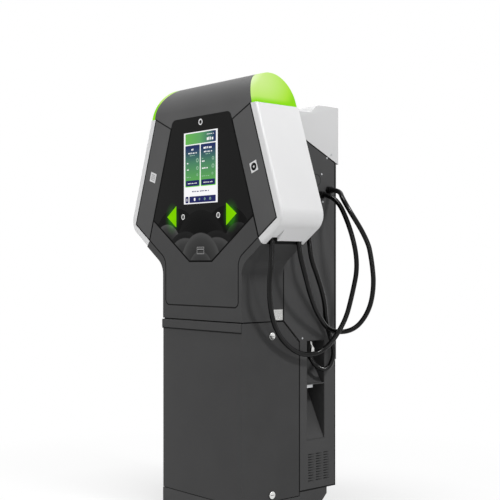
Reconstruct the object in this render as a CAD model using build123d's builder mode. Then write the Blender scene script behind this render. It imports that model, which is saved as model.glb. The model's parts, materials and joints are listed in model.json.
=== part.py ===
from build123d import *

import os
from math import hypot, radians, tan

# ------------------------------------------------------------------ driving dimensions, mm
# Cabinet: a sheet-metal column with a deeper, wider head
CABINET_WIDTH = 531
CABINET_DEPTH = 537  # front face to rear skin
HEAD_DEPTH = 228  # front face to the back of the head
COVER_DEPTH = 320  # how far the lower front cover wraps round the sides
SKIN = 3  # folded steel skins
FRONT_SKIN = 4  # glass and front panels, all flush
SEAM = 3.5  # shadow gap between neighbouring covers
FIT = 0.3  # clearance of pieces that only seat on each other

# Heights above the floor
PLINTH_TOP = 93
COVER_BOTTOM = 96
COVER_TOP = 834
HOUSING_BOTTOM = 839
LIP_BOTTOM = 798
COVER_LIP = 6  # how far the lip stands proud of the front face
DIAGONAL_DROP = 90  # the cover's top edge falls by this much towards its rear edge
REAR_BOTTOM = 113
DOOR_BOTTOM = 660
DOOR_STEP = 8  # how far the rear door stands proud of the rear skin
CAP_OVERHANG = 22  # how far the cap stands proud of the rear skin

# Head, in the front elevation: two outer lines, and inner lines parallel to them
LEAN = 0.336  # sideways travel of the head's side for each unit of height
UNDER_RISE = 0.70  # rise of the head's underside for each unit of width
WING_TOP_X, WING_TOP_Z = 356, 1717
WING_TIP_X, WING_TIP_Z = 386, 1154
WING_SIDE = 38  # width of the wing's front flange, across
WING_UNDER = 40  # the same on the underside, upright
WING_BEND = 70  # outside radius where the side turns under
WING_EDGE = 9  # rounding of the wing's front edge
WING_WALL = 3
RIM_SHARE = 0.45  # the outer part of the flange, whose edges are rounded
PANEL_STRIP = 131  # side panel between the wing's flange and the glass, across
SHOULDER_RADIUS = 80
HEAD_TOP = 1855
HEAD_CORNER = 58
ARCH_RISE = 117  # height of the full-round top above where it springs
LIGHT_RADIUS = 225  # arc that parts the corner light from the grey cover
LIGHT_CREST_X = 243
LIGHT_FOOT_X = 325
LIGHT_WALL = 4
HOUSING_ROOF = 1690

# Front face
GLASS_TOP = 1698
GLASS_BOTTOM = 1087
GLASS_FOOT = 76  # half width of the glass at its foot
GLASS_CORNER = 28
MITRE_DROP = 34  # the slanting seam meets the glass this far below its top
GROOVE_INSET = 19.5  # groove of the front hatch, in from the column's side
GROOVE_BOTTOM = 897
GROOVE_RADIUS = 25
GROOVE_BEND = 60
LEDGE = 12  # what the flush panels rest on
SCREEN_WIDTH, SCREEN_HEIGHT = 228, 304
SCREEN_BOTTOM = 1331
SCREEN_BODY = 36  # depth of the display module
ARROW_EDGE_X, ARROW_TIP_X = 169, 234
ARROW_Z, ARROW_HEIGHT = 1280, 92
ARROW_DEPTH = 14
BUTTON_X, BUTTON_Z = 119, 1277
BUTTON_RADIUS = 8.4
BEZEL_RADIUS = 12
BEZEL_RIM = 1  # thickness of the rim, and how far it laps over the glass
BEZEL_FIT = 0.1  # between the barrel and its hole
KEY_FIT = 0.2  # between the key and the bezel
KEY_EDGE = 0.6
BUTTON_TRAVEL = 2
READER_Z, READER_WIDTH, READER_HEIGHT, READER_DEPTH = 1134, 96, 64, 26
BEZEL_BARREL, BEZEL_BLOCK = 16, 12
TAG_SIZE = 42
TAG_X, TAG_Z = 340, 1461
TAG_TURN = 18.6  # degrees, the lean of the side panels

# Rear cabinet
CAP_TOP = 1758
CAP_FRONT_Z = 1722
CAP_EDGE_FRONT_Z, CAP_EDGE_REAR_Z = 1667, 1510  # the cap's sloping lower edge
CAP_CREST_DEPTH = 446
CAP_FOOT_DEPTH = 372
NICHE_WIDTH = 103
NICHE_GAPS = 41, 18  # how the room between the posts is shared before and behind the niche
NICHE_TOP, NICHE_SPLIT, NICHE_BOTTOM = 747, 562, 326
NICHE_WALL = 2.5
UPPER_RAMP_Z = 690  # where the upper pocket's back turns into its ramp
LOWER_RAMP_Z = 522
VENT_COLUMNS, VENT_ROWS = 3, 11
VENT_TOP = 262
VENT_GAPS = 50.5, 35  # how the side plate's room is shared before and behind the slots
VENT_COLUMN_PITCH, VENT_ROW_PITCH = 46, 11.2
VENT_LENGTH, VENT_HEIGHT = 36, 4.4

# Plinth
PLINTH_DEPTH = 487
PLINTH_FOOT_DEPTH = 439
PLINTH_CHAMFER_TOP = 83
PLINTH_BASE = 6
ANCHOR_X, ANCHOR_Y, ANCHOR_RADIUS = 420, 340, 7
CABLE_ENTRY_X, CABLE_ENTRY_Y = 260, 180

# Frame
ANGLE = 30
ANGLE_THICK = 3
MID_POST_DEPTH = 285
FRONT_POST_DEPTH = 14
FRONT_POST_TOP = 1010
MID_POST_TOP = 1590
REAR_POST_TOP = 1490
POST_GAP = 1.5  # between the middle posts and the cover that slides past them
WELD_GAP = 0.3  # root gap between the frame's members
FRONT_POST_X = 248.5  # clear of the locks, which slide past with the cover
RAIL_X = 232.5
LOW_RAILS_Z = (120, 775, 975)  # side rails from the front posts to the rear posts
HIGH_RAIL_Z = 1420
BRACKET_FACE = 259.5  # outer face of the lock brackets
BRACKET_FRONT, BRACKET_HEIGHT = 150, 40
BRACKET_GAP = 14  # between a bracket's two tabs, for the lock's stud
PLATE_BOTTOM, PLATE_TOP, PLATE_WIDTH = 175, 765, 490

# Cables and their fittings
CABLE_RADIUS = 10.5
GLAND_D = (450, 1372)  # depth, height
GLAND_E = (497, 1395)
GLAND_F = (330, 1330)
GLAND_RADIUS = 17
GLAND_LENGTH = 20
PLUG_X = 400
PLUG_DEPTHS = (44, 186)
PLUG_BOTTOM = 1236
PLUG_RADIUS = 22
PLUG_BODY = 96
NOSE_RADIUS, NOSE_LENGTH = 15, 38
POCKET_PLUG_X, POCKET_PLUG_DEPTH, POCKET_PLUG_Z = 248, 397, 697
POCKET_PLUG_RADIUS = 17

# Wing openings
WING_TIP_CUT = 20  # how far the wing's end face slopes inwards
SLOT_FRONT, SLOT_REAR = 24, 206  # cable slot between the wing's rims, in depth
SLOT_REACH = 36  # width of the slot, out from the wing's tip
HOOD_FRONT, HOOD_REAR = 50, 198  # lip over the slot
HOOD_REACH, HOOD_DROP = 44, 14

# Locks
LOCK_DEPTH = 164
LOCK_HEIGHTS = (122, 777)
LOCK_HEAD_RADIUS, LOCK_HEAD, LOCK_EDGE = 15.5, 5, 1
LOCK_SHAFT_RADIUS = 4
LOCK_BAR_LENGTH = 24

LOCK_CLEARANCE = 0.05
LOCK_GAP = 0.2  # between the lock's head and the cover
LOCK_SLOT, LOCK_SLOT_LENGTH = 2, 22
LOCK_BAR_X, LOCK_BAR_WIDTH = 250.5, 8
COVER_FOLD = 10

# Lamps under the corner lights
LED_X, LED_HEIGHT, LED_LENGTH = 272, 50, 150
LED_PITCH, LED_COUNT, LED_SIZE = 22, 6, 8

# Side plates, niches, cap and screws
REAR_FOLD, FOLD_TOP = 28, 1490
NICHE_BACK_X = 165
UPPER_FOOT_X, LOWER_FOOT_X = 250, 262
NICHE_FLANGE = 12
HOLDER_WIDTH, HOLDER_HEIGHT, HOLDER_INSET = 38, 13, 5
CAP_FLANGE = 18
SCREWS = ((341, 760), (457, 1462), (463, 1344), (489, 1534), (515, 1550))  # depth, height
SCREW_RADIUS, SCREW_HEAD = 4.5, 1.5
PLATE_LENGTH, PLATE_HEIGHT, DATA_PLATE = 56, 44, 1

# Rear door
DOOR_TOP = 1508
DOOR_GAP = 0.5  # between the closed door and the side plates
GASKET = 12
HINGE_X = 271.5
HINGE_SETBACK = 4  # from the door's outer face in to the hinge pins
HINGE_HEIGHTS = (760, 1045, 1330)
KNUCKLE, KNUCKLE_RADIUS, KNUCKLE_GAP, KNUCKLE_TAB = 20, 5.5, 0.5, 4
PIN_RADIUS, PIN_CLEARANCE = 3, 0.06
LEAF, LEAF_GAP, LEAF_REACH, LEAF_LENGTH = 2.5, 0.5, 24, 30
HANDLE_X, HANDLE_Z = 215, 1110
HANDLE_WIDTH, HANDLE_LENGTH, HANDLE_THICK = 24, 110, 9
HANDLE_SHAFT_RADIUS, HANDLE_CLEARANCE, HANDLE_GAP = 6, 0.06, 0.5
CAM_SETBACK, CAM_LENGTH = 11, 44  # from the rear skin in to the cam, and its length

# Fans and equipment
FAN_X, FAN_Z = 110, 215
FAN_SIZE, FAN_DEPTH, FAN_BORE, FAN_HUB, SPINDLE_RADIUS = 120, 38, 56, 20, 4
FAN_BLADES, BLADE_CHORD, BLADE_THICK, FAN_PITCH = 7, 20, 2, 35
FAN_SLOTS, FAN_SLOT_PITCH, FAN_SLOT_LENGTH = 9, 12, 104
MODULE_COUNT, MODULE_WIDTH, MODULE_PITCH = 4, 104, 116
MODULE_Z, MODULE_HEIGHT, MODULE_DEPTH = 320, 240, 170
DIN_HEIGHTS = (540, 640)
DIN_WIDTH, DIN_DEPTH, DIN_LENGTH, DIN_THICK = 35, 7.5, 440, 1.5
CONTACTOR_COUNT, CONTACTOR_WIDTH, CONTACTOR_PITCH = 4, 55, 90
CONTACTOR_HEIGHT, CONTACTOR_DEPTH = 84, 90
TERMINAL_COUNT, TERMINAL_PITCH, TERMINAL_HEIGHT, TERMINAL_DEPTH = 24, 12, 50, 42
CONTROLLER_Z, CONTROLLER_WIDTH, CONTROLLER_HEIGHT, CONTROLLER_DEPTH = 715, 300, 84, 60

# Holsters, connectors and cables
HOLSTER_FRONT, HOLSTER_WIDTH, HOLSTER_HEIGHT = 16, 48, 58
PLUG_CHAMFER = 8
POCKET_NOSE_RADIUS, POCKET_CHAMFER = 9, 5
EAR, EAR_X, EAR_REACH, EAR_HEIGHT = 2, 7, 6, 10
LEVER_Z, LEVER_WIDTH, LEVER_LENGTH, LEVER_THICK, LEVER_PIN_RADIUS = 738, 11, 30, 5, 1.2
CORD_SHARE = 0.45  # part of each run that a rounded corner may take
# corners of each cable: X, depth behind the front face, height
FRONT_CABLE = [
    (400, 44, 1236), (400, 44, 1090), (374, 49, 989), (330, 103, 859), (306, 179, 761),
    (294, 307, 688), (319, 422, 702), (364, 497, 824), (389, 517, 947), (429, 510, 1075),
    (438, 455, 1224), (352, 450, 1372), (265.5, 450, 1372),
]
REAR_CABLE = [
    (400, 186, 1236), (400, 186, 1142), (386, 241, 1025), (356, 301, 938), (328, 368, 864),
    (300, 471, 781), (375, 541, 787), (448, 558, 873), (484, 549, 984), (488, 529, 1092),
    (487, 503, 1179), (414, 432, 1343), (332, 497, 1395), (265.5, 497, 1395),
]
POCKET_CABLE = [
    (265.5, 330, 1330), (315, 330, 1330), (352, 280, 1262), (364, 286, 1153), (359, 302, 1092),
    (354, 334, 1023), (340, 370, 959), (318, 403, 900), (292, 435, 834), (285, 469, 777),
    (290, 512, 685), (299, 449, 602), (248, 397, 647), (248, 397, 697),
]

# ------------------------------------------------------------------ places worked out from them
HALF = CABINET_WIDTH / 2
INSIDE = HALF - SKIN
FRONT = COVER_LIP - (COVER_LIP + CABINET_DEPTH + CAP_OVERHANG) / 2
ARCH_SPRING = HEAD_TOP - ARCH_RISE
REAR_POST_DEPTH = CABINET_DEPTH - 2 * SKIN - ANGLE
NICHE_ROOM = REAR_POST_DEPTH - MID_POST_DEPTH - ANGLE - NICHE_WIDTH - 2 * NICHE_FLANGE
NICHE_FRONT = (
    MID_POST_DEPTH + ANGLE + NICHE_FLANGE + NICHE_ROOM * NICHE_GAPS[0] / sum(NICHE_GAPS)
)
VENT_WIDTH = (VENT_COLUMNS - 1) * VENT_COLUMN_PITCH + VENT_LENGTH
VENT_ROOM = CABINET_DEPTH - COVER_DEPTH - SEAM - VENT_WIDTH
VENT_FRONT = COVER_DEPTH + SEAM + VENT_ROOM * VENT_GAPS[0] / sum(VENT_GAPS)
DOOR_FACE = CABINET_DEPTH + DOOR_STEP
HINGE_DEPTH = DOOR_FACE - HINGE_SETBACK
CAM_FACE = CABINET_DEPTH - CAM_SETBACK


def y(depth):
    """Y of a place that lies this far behind the front face."""
    return FRONT + depth


def facing(depth):
    """Front elevation, X across and Z up; an extrusion by a negative amount runs rearwards."""
    return Plane.XZ.offset(-y(depth))


def side_on(x):
    """Side elevation, Y rearwards and Z up; an extrusion runs to +X."""
    return Plane.YZ.offset(x)


def side_line(z, inset=0):
    """X of the head's leaning outer line at a height, or of a line parallel to it."""
    return WING_TOP_X - inset + (WING_TOP_Z - z) * LEAN


def under_line(x, lift=0):
    """Height of the head's underside line at a place across, or of a line parallel to it."""
    return WING_TIP_Z + lift + (x - WING_TIP_X) * UNDER_RISE


def bend(inset, lift):
    """Point where a leaning line meets an underside line."""
    at_zero = under_line(0, lift)
    x = (WING_TOP_X - inset + (WING_TOP_Z - at_zero) * LEAN) / (1 + LEAN * UNDER_RISE)
    return x, under_line(x, lift)


def both_sides(points):
    """A closed outline from its right half, listed from the foot to the top."""
    return points + [(-x, z) for x, z in reversed(points)]


def in_depth(points):
    """Side elevation points given as depth and height."""
    return [(y(depth), z) for depth, z in points]


def nearest(shape, *points):
    """The corners of a flat outline that lie nearest to the given points."""
    return [shape.vertices().sort_by_distance(point)[0] for point in points]


OUTER_BEND = bend(0, 0)
INNER_BEND = bend(WING_SIDE, WING_UNDER)
SEAM_INSET = WING_SIDE + PANEL_STRIP
SEAM_FOOT = bend(SEAM_INSET, WING_UNDER)
GLASS_LIFT = GLASS_BOTTOM - under_line(GLASS_FOOT)
GLASS_WIDEST = bend(SEAM_INSET, GLASS_LIFT)
MITRE_Z = GLASS_TOP - MITRE_DROP
HATCH_X = HALF - GROOVE_INSET
TIP_INNER = (WING_TIP_X - WING_TIP_CUT, under_line(WING_TIP_X - WING_TIP_CUT, WING_UNDER))

# ------------------------------------------------------------------ plinth and frame
with BuildPart() as base_plinth:
    profile = in_depth([
        (0, 0), (0, PLINTH_TOP), (COVER_DEPTH + SEAM, PLINTH_TOP),
        (COVER_DEPTH + SEAM, REAR_BOTTOM - SEAM), (PLINTH_DEPTH, REAR_BOTTOM - SEAM),
        (PLINTH_DEPTH, PLINTH_CHAMFER_TOP),
        (PLINTH_FOOT_DEPTH, PLINTH_CHAMFER_TOP - (PLINTH_DEPTH - PLINTH_FOOT_DEPTH)),
        (PLINTH_FOOT_DEPTH, 0),
    ])
    with BuildSketch(side_on(-HALF)):
        Polygon(*profile, align=None)
    extrude(amount=CABINET_WIDTH)
    with BuildSketch(side_on(-INSIDE)):
        Polygon(*profile, align=None)
        offset(amount=-SKIN, kind=Kind.INTERSECTION, mode=Mode.REPLACE)
    extrude(amount=2 * INSIDE, mode=Mode.SUBTRACT)
    # the top is open: only the walls reach up
    with BuildSketch(Plane.XY.offset(PLINTH_TOP - 2 * SKIN)):
        with Locations((0, y(PLINTH_DEPTH / 2))):
            Rectangle(2 * INSIDE, PLINTH_DEPTH - 2 * SKIN)
    extrude(amount=REAR_BOTTOM, mode=Mode.SUBTRACT)
    # the base plate is thicker than the walls
    with BuildSketch(Plane.XY):
        with Locations((0, y(PLINTH_FOOT_DEPTH / 2))):
            Rectangle(2 * INSIDE, PLINTH_FOOT_DEPTH - SKIN)
    extrude(amount=PLINTH_BASE)
    with BuildSketch(Plane.XY):
        with Locations((0, y(PLINTH_FOOT_DEPTH / 2))):
            with GridLocations(ANCHOR_X, ANCHOR_Y, 2, 2):
                Circle(ANCHOR_RADIUS)
            Rectangle(CABLE_ENTRY_X, CABLE_ENTRY_Y)
    extrude(amount=PLINTH_BASE, mode=Mode.SUBTRACT)

# angle posts: depth, foot, top and outer face
FRAME_POSTS = (
    (FRONT_POST_DEPTH, PLINTH_BASE, FRONT_POST_TOP, FRONT_POST_X),
    (MID_POST_DEPTH, PLINTH_BASE, MID_POST_TOP, INSIDE - POST_GAP),
    (REAR_POST_DEPTH, REAR_BOTTOM + SKIN, REAR_POST_TOP, INSIDE),
)

with BuildPart() as inner_frame:
    for depth, foot, top, face in FRAME_POSTS:
        for side in (-1, 1):
            with BuildSketch(Plane.XY.offset(foot)):
                with Locations((side * (face - ANGLE_THICK / 2), y(depth + ANGLE / 2))):
                    Rectangle(ANGLE_THICK, ANGLE)
                with Locations((side * (face - ANGLE / 2), y(depth + ANGLE_THICK / 2))):
                    Rectangle(ANGLE, ANGLE_THICK)
            extrude(amount=top - foot)
        # cross rails from post to post
        for rail_z in (*LOW_RAILS_Z, HIGH_RAIL_Z):
            if rail_z < top - ANGLE:
                with BuildSketch(Plane.XY.offset(rail_z)):
                    with Locations((0, y(depth + ANGLE_THICK / 2))):
                        Rectangle(2 * (face - ANGLE - WELD_GAP), ANGLE_THICK)
                extrude(amount=ANGLE)
    # side rails, each between two neighbouring posts
    for (front, *_, front_top, _), (rear, *_) in zip(FRAME_POSTS, FRAME_POSTS[1:]):
        length = rear - front - ANGLE_THICK - 2 * WELD_GAP
        for rail_z in (*LOW_RAILS_Z, HIGH_RAIL_Z):
            if rail_z < front_top - ANGLE:
                for side in (-1, 1):
                    with BuildSketch(Plane.XY.offset(rail_z)):
                        with Locations((
                            side * (RAIL_X + ANGLE_THICK / 2), y(rear - WELD_GAP - length / 2)
                        )):
                            Rectangle(ANGLE_THICK, length)
                    extrude(amount=ANGLE)
    # a pair of tabs on the middle post for each lock; its stud slides in between them
    tab_height = (BRACKET_HEIGHT - BRACKET_GAP) / 2
    tab_rear = MID_POST_DEPTH - WELD_GAP
    for side in (-1, 1):
        for lock_z in LOCK_HEIGHTS:
            with BuildSketch(side_on(side * BRACKET_FACE)):
                with Locations((y((BRACKET_FRONT + tab_rear) / 2), lock_z)):
                    with GridLocations(1, BRACKET_GAP + tab_height, 1, 2):
                        Rectangle(tab_rear - BRACKET_FRONT, tab_height)
            extrude(amount=-side * ANGLE_THICK)

with BuildPart() as mounting_plate:
    # carries the equipment behind the lower cover
    with BuildSketch(facing(MID_POST_DEPTH - SKIN)):
        with Locations((0, (PLATE_BOTTOM + PLATE_TOP) / 2)):
            Rectangle(PLATE_WIDTH, PLATE_TOP - PLATE_BOTTOM)
    extrude(amount=-SKIN)

# ------------------------------------------------------------------ head and upper column
HOUSING_OUTLINE = both_sides([
    (HALF, HOUSING_BOTTOM),
    (HALF, under_line(HALF)),
    (WING_TIP_X, WING_TIP_Z),
    TIP_INNER,
    INNER_BEND,
    (side_line(HOUSING_ROOF, WING_SIDE), HOUSING_ROOF),
])
SHOULDERS = ((HALF, under_line(HALF)), (-HALF, under_line(HALF)))
HATCH_OUTLINE = both_sides([
    (HATCH_X, GROOVE_BOTTOM),
    (HATCH_X, under_line(HATCH_X, WING_UNDER)),
    SEAM_FOOT,
    GLASS_WIDEST,
    (GLASS_FOOT, GLASS_BOTTOM),
])
HATCH_BENDS = (
    (HATCH_X, under_line(HATCH_X, WING_UNDER)),
    (-HATCH_X, under_line(HATCH_X, WING_UNDER)),
)
HATCH_CORNERS = ((HATCH_X, GROOVE_BOTTOM), (-HATCH_X, GROOVE_BOTTOM))
GLASS_OUTLINE = both_sides([
    (GLASS_FOOT, GLASS_BOTTOM),
    GLASS_WIDEST,
    (side_line(GLASS_TOP, SEAM_INSET), GLASS_TOP),
])
GLASS_TOP_CORNERS = (
    (side_line(GLASS_TOP, SEAM_INSET), GLASS_TOP),
    (-side_line(GLASS_TOP, SEAM_INSET), GLASS_TOP),
)


def hatch_face(shrink):
    """The front hatch's flat outline, smaller all round by the given amount."""
    with BuildSketch() as face:
        Polygon(*HATCH_OUTLINE, align=None)
        fillet(nearest(face, *HATCH_BENDS), GROOVE_BEND)
        fillet(nearest(face, *HATCH_CORNERS), GROOVE_RADIUS)
        offset(amount=-shrink, kind=Kind.INTERSECTION, mode=Mode.REPLACE)
    return face.sketch


def glass_face(shrink):
    """The glass's flat outline, smaller all round by the given amount."""
    with BuildSketch() as face:
        Polygon(*GLASS_OUTLINE, align=None)
        fillet(nearest(face, *GLASS_TOP_CORNERS), GLASS_CORNER)
        offset(amount=-shrink, kind=Kind.INTERSECTION, mode=Mode.REPLACE)
    return face.sketch


with BuildPart() as front_housing:
    with BuildSketch(facing(0)) as outline:
        Polygon(*HOUSING_OUTLINE, align=None)
        fillet(nearest(outline, *SHOULDERS), SHOULDER_RADIUS)
    extrude(amount=-HEAD_DEPTH)
    with BuildSketch(facing(0)) as inside:
        Polygon(*HOUSING_OUTLINE, align=None)
        fillet(nearest(inside, *SHOULDERS), SHOULDER_RADIUS)
        offset(amount=-SKIN, kind=Kind.INTERSECTION, mode=Mode.REPLACE)
    extrude(amount=-(HEAD_DEPTH - SKIN), mode=Mode.SUBTRACT)
    # open at the bottom
    with BuildSketch(Plane.XY.offset(HOUSING_BOTTOM)):
        with Locations((0, y(HEAD_DEPTH / 2))):
            Rectangle(2 * INSIDE, HEAD_DEPTH - 2 * SKIN)
    extrude(amount=SKIN, mode=Mode.SUBTRACT)
    # front margin round the hatch, below the flush panels
    with BuildSketch(facing(0)) as margin:
        Polygon(*HOUSING_OUTLINE, align=None)
        fillet(nearest(margin, *SHOULDERS), SHOULDER_RADIUS)
        add(hatch_face(-SEAM / 2), mode=Mode.SUBTRACT)
        add(glass_face(-SEAM / 2), mode=Mode.SUBTRACT)
        Polygon(
            *both_sides([TIP_INNER, INNER_BEND, (side_line(HOUSING_ROOF, WING_SIDE), HOUSING_ROOF)]),
            align=None, mode=Mode.SUBTRACT,
        )
    extrude(amount=-FRONT_SKIN)
    # the walls of the head stand back behind the side panels
    with BuildSketch(facing(0)):
        Polygon(
            *both_sides([
                (TIP_INNER[0] + SKIN, TIP_INNER[1] - SKIN),
                (INNER_BEND[0] + SKIN, INNER_BEND[1]),
                (side_line(HOUSING_ROOF, WING_SIDE) + SKIN, HOUSING_ROOF + SKIN),
            ]),
            align=None,
        )
    extrude(amount=-FRONT_SKIN, mode=Mode.SUBTRACT)
    # opening to the rear cabinet
    with BuildSketch(facing(HEAD_DEPTH - SKIN)):
        with Locations((0, (HOUSING_BOTTOM + GLASS_WIDEST[1]) / 2)):
            Rectangle(
                2 * (RAIL_X + ANGLE_THICK), GLASS_WIDEST[1] - HOUSING_BOTTOM - 2 * ANGLE
            )
    extrude(amount=-SKIN, mode=Mode.SUBTRACT)
    # cable windows above the wings' slots
    for side in (-1, 1):
        with BuildSketch(Plane.XY.offset(TIP_INNER[1])):
            with Locations((side * (WING_TIP_X + SLOT_REACH / 2), y((SLOT_FRONT + SLOT_REAR) / 2))):
                Rectangle(SLOT_REACH + WING_TIP_CUT, SLOT_REAR - SLOT_FRONT)
        extrude(amount=INNER_BEND[1] - TIP_INNER[1], mode=Mode.SUBTRACT)

with BuildPart() as carrier_plate:
    # backs the glass, the hatch and the side panels
    with BuildSketch(facing(FRONT_SKIN)) as sheet:
        Polygon(*HOUSING_OUTLINE, align=None)
        fillet(nearest(sheet, *SHOULDERS), SHOULDER_RADIUS)
        offset(amount=-SKIN - FIT, kind=Kind.INTERSECTION, mode=Mode.REPLACE)
        with Locations((0, SCREEN_BOTTOM + SCREEN_HEIGHT / 2)):
            Rectangle(SCREEN_WIDTH + 2 * FIT, SCREEN_HEIGHT + 2 * FIT, mode=Mode.SUBTRACT)
        for side in (-1, 1):
            with Locations((side * (ARROW_EDGE_X + ARROW_TIP_X) / 2, ARROW_Z)):
                Rectangle(
                    ARROW_TIP_X - ARROW_EDGE_X + 2 * FIT, ARROW_HEIGHT + 2 * FIT, mode=Mode.SUBTRACT
                )
            with Locations((side * BUTTON_X, BUTTON_Z)):
                Circle(BEZEL_RADIUS, mode=Mode.SUBTRACT)
        # access behind the hatch
        with Locations((0, (GROOVE_BOTTOM + GLASS_BOTTOM) / 2)):
            Rectangle(
                2 * (HATCH_X - GROOVE_RADIUS - LEDGE),
                GLASS_BOTTOM - GROOVE_BOTTOM - 4 * LEDGE,
                mode=Mode.SUBTRACT,
            )
    extrude(amount=-SKIN)

with BuildPart() as front_hatch:
    with BuildSketch(facing(0)):
        add(hatch_face(SEAM / 2))
    extrude(amount=-FRONT_SKIN)


def arrow_face(grow=0):
    """The two flat arrows that point outwards, larger all round by the given amount."""
    with BuildSketch() as face:
        for side in (-1, 1):
            Polygon(
                (side * ARROW_EDGE_X, ARROW_Z - ARROW_HEIGHT / 2),
                (side * ARROW_EDGE_X, ARROW_Z + ARROW_HEIGHT / 2),
                (side * ARROW_TIP_X, ARROW_Z),
                align=None,
            )
        if grow:
            offset(amount=grow, kind=Kind.INTERSECTION, mode=Mode.REPLACE)
    return face.sketch


with BuildPart() as display_glass:
    with BuildSketch(facing(0)):
        add(glass_face(SEAM / 2))
        with Locations((0, SCREEN_BOTTOM + SCREEN_HEIGHT / 2)):
            Rectangle(SCREEN_WIDTH + 2 * FIT, SCREEN_HEIGHT + 2 * FIT, mode=Mode.SUBTRACT)
        add(arrow_face(FIT), mode=Mode.SUBTRACT)
        with Locations((0, BUTTON_Z)):
            with GridLocations(2 * BUTTON_X, 1, 2, 1):
                Circle(BEZEL_RADIUS - BEZEL_RIM, mode=Mode.SUBTRACT)
    extrude(amount=-FRONT_SKIN)

with BuildPart() as display_module:
    with BuildSketch(facing(0)):
        with Locations((0, SCREEN_BOTTOM + SCREEN_HEIGHT / 2)):
            Rectangle(SCREEN_WIDTH, SCREEN_HEIGHT)
    extrude(amount=-SCREEN_BODY)
    with BuildSketch(facing(FRONT_SKIN + SKIN)):
        with Locations((0, SCREEN_BOTTOM + SCREEN_HEIGHT / 2)):
            Rectangle(SCREEN_WIDTH + 2 * LEDGE, SCREEN_HEIGHT + 2 * LEDGE)
    extrude(amount=-SKIN)

with BuildPart() as arrow_lights:
    with BuildSketch(facing(0)):
        add(arrow_face())
    extrude(amount=-ARROW_DEPTH)
    # flange behind the carrier plate
    with BuildSketch(facing(FRONT_SKIN + SKIN)):
        for side in (-1, 1):
            with Locations((side * (ARROW_EDGE_X + ARROW_TIP_X) / 2, ARROW_Z)):
                Rectangle(ARROW_TIP_X - ARROW_EDGE_X + LEDGE, ARROW_HEIGHT + LEDGE)
    extrude(amount=-SKIN)

with BuildPart() as button_bezels:
    for side in (-1, 1):
        with BuildSketch(facing(-BEZEL_RIM)):
            with Locations((side * BUTTON_X, BUTTON_Z)):
                Circle(BEZEL_RADIUS)
                Circle(BUTTON_RADIUS + KEY_FIT, mode=Mode.SUBTRACT)
        extrude(amount=-BEZEL_RIM)
        with BuildSketch(facing(0)):
            with Locations((side * BUTTON_X, BUTTON_Z)):
                Circle(BEZEL_RADIUS - BEZEL_RIM - BEZEL_FIT)
                Circle(BUTTON_RADIUS + KEY_FIT, mode=Mode.SUBTRACT)
        extrude(amount=-BEZEL_BARREL)
        # the contact block that the key presses, on the end of the barrel
        with BuildSketch(facing(BEZEL_BARREL)):
            with Locations((side * BUTTON_X, BUTTON_Z)):
                Circle(BEZEL_RADIUS - BEZEL_RIM - BEZEL_FIT)
        extrude(amount=-BEZEL_BLOCK)


def push_button(side):
    """A round key that slides in its bezel's barrel."""
    with BuildPart() as key:
        with BuildSketch(facing(-1)):
            with Locations((side * BUTTON_X, BUTTON_Z)):
                Circle(BUTTON_RADIUS)
        extrude(amount=-(BEZEL_BARREL + 1 - BUTTON_TRAVEL - FIT))
        fillet(key.faces().sort_by(Axis.Y)[0].edges(), KEY_EDGE)
    return key


left_button = push_button(-1)
right_button = push_button(1)

with BuildPart() as card_reader:
    with BuildSketch(facing(FRONT_SKIN + SKIN)):
        with Locations((0, READER_Z)):
            RectangleRounded(READER_WIDTH, READER_HEIGHT, LEDGE / 2)
    extrude(amount=-READER_DEPTH)


def side_panel():
    """The flush panel between the glass and the right wing's flange."""
    with BuildPart() as panel:
        with BuildSketch(facing(0)):
            Polygon(
                SEAM_FOOT, INNER_BEND,
                (side_line(WING_TOP_Z, WING_SIDE), WING_TOP_Z),
                (side_line(MITRE_Z, SEAM_INSET), MITRE_Z),
                align=None,
            )
            offset(amount=-SEAM / 2, kind=Kind.INTERSECTION, mode=Mode.REPLACE)
        extrude(amount=-FRONT_SKIN)
    return panel


right_front_panel = side_panel()
with BuildPart() as left_front_panel:
    mirror(right_front_panel.part, about=Plane.YZ)

with BuildPart() as connector_tags:
    # square stickers, turned with the lean of the panels
    for side in (-1, 1):
        with BuildSketch(facing(-FIT)):
            with Locations(Location((side * TAG_X, TAG_Z), side * TAG_TURN)):
                Rectangle(TAG_SIZE, TAG_SIZE)
        extrude(amount=-FIT)

# ------------------------------------------------------------------ wings
wall_side = WING_WALL * hypot(1, LEAN)
wall_under = WING_WALL * hypot(1, UNDER_RISE)
deep_side = WING_SIDE + 2 * WING_WALL
deep_under = WING_UNDER + 2 * WING_WALL

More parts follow.
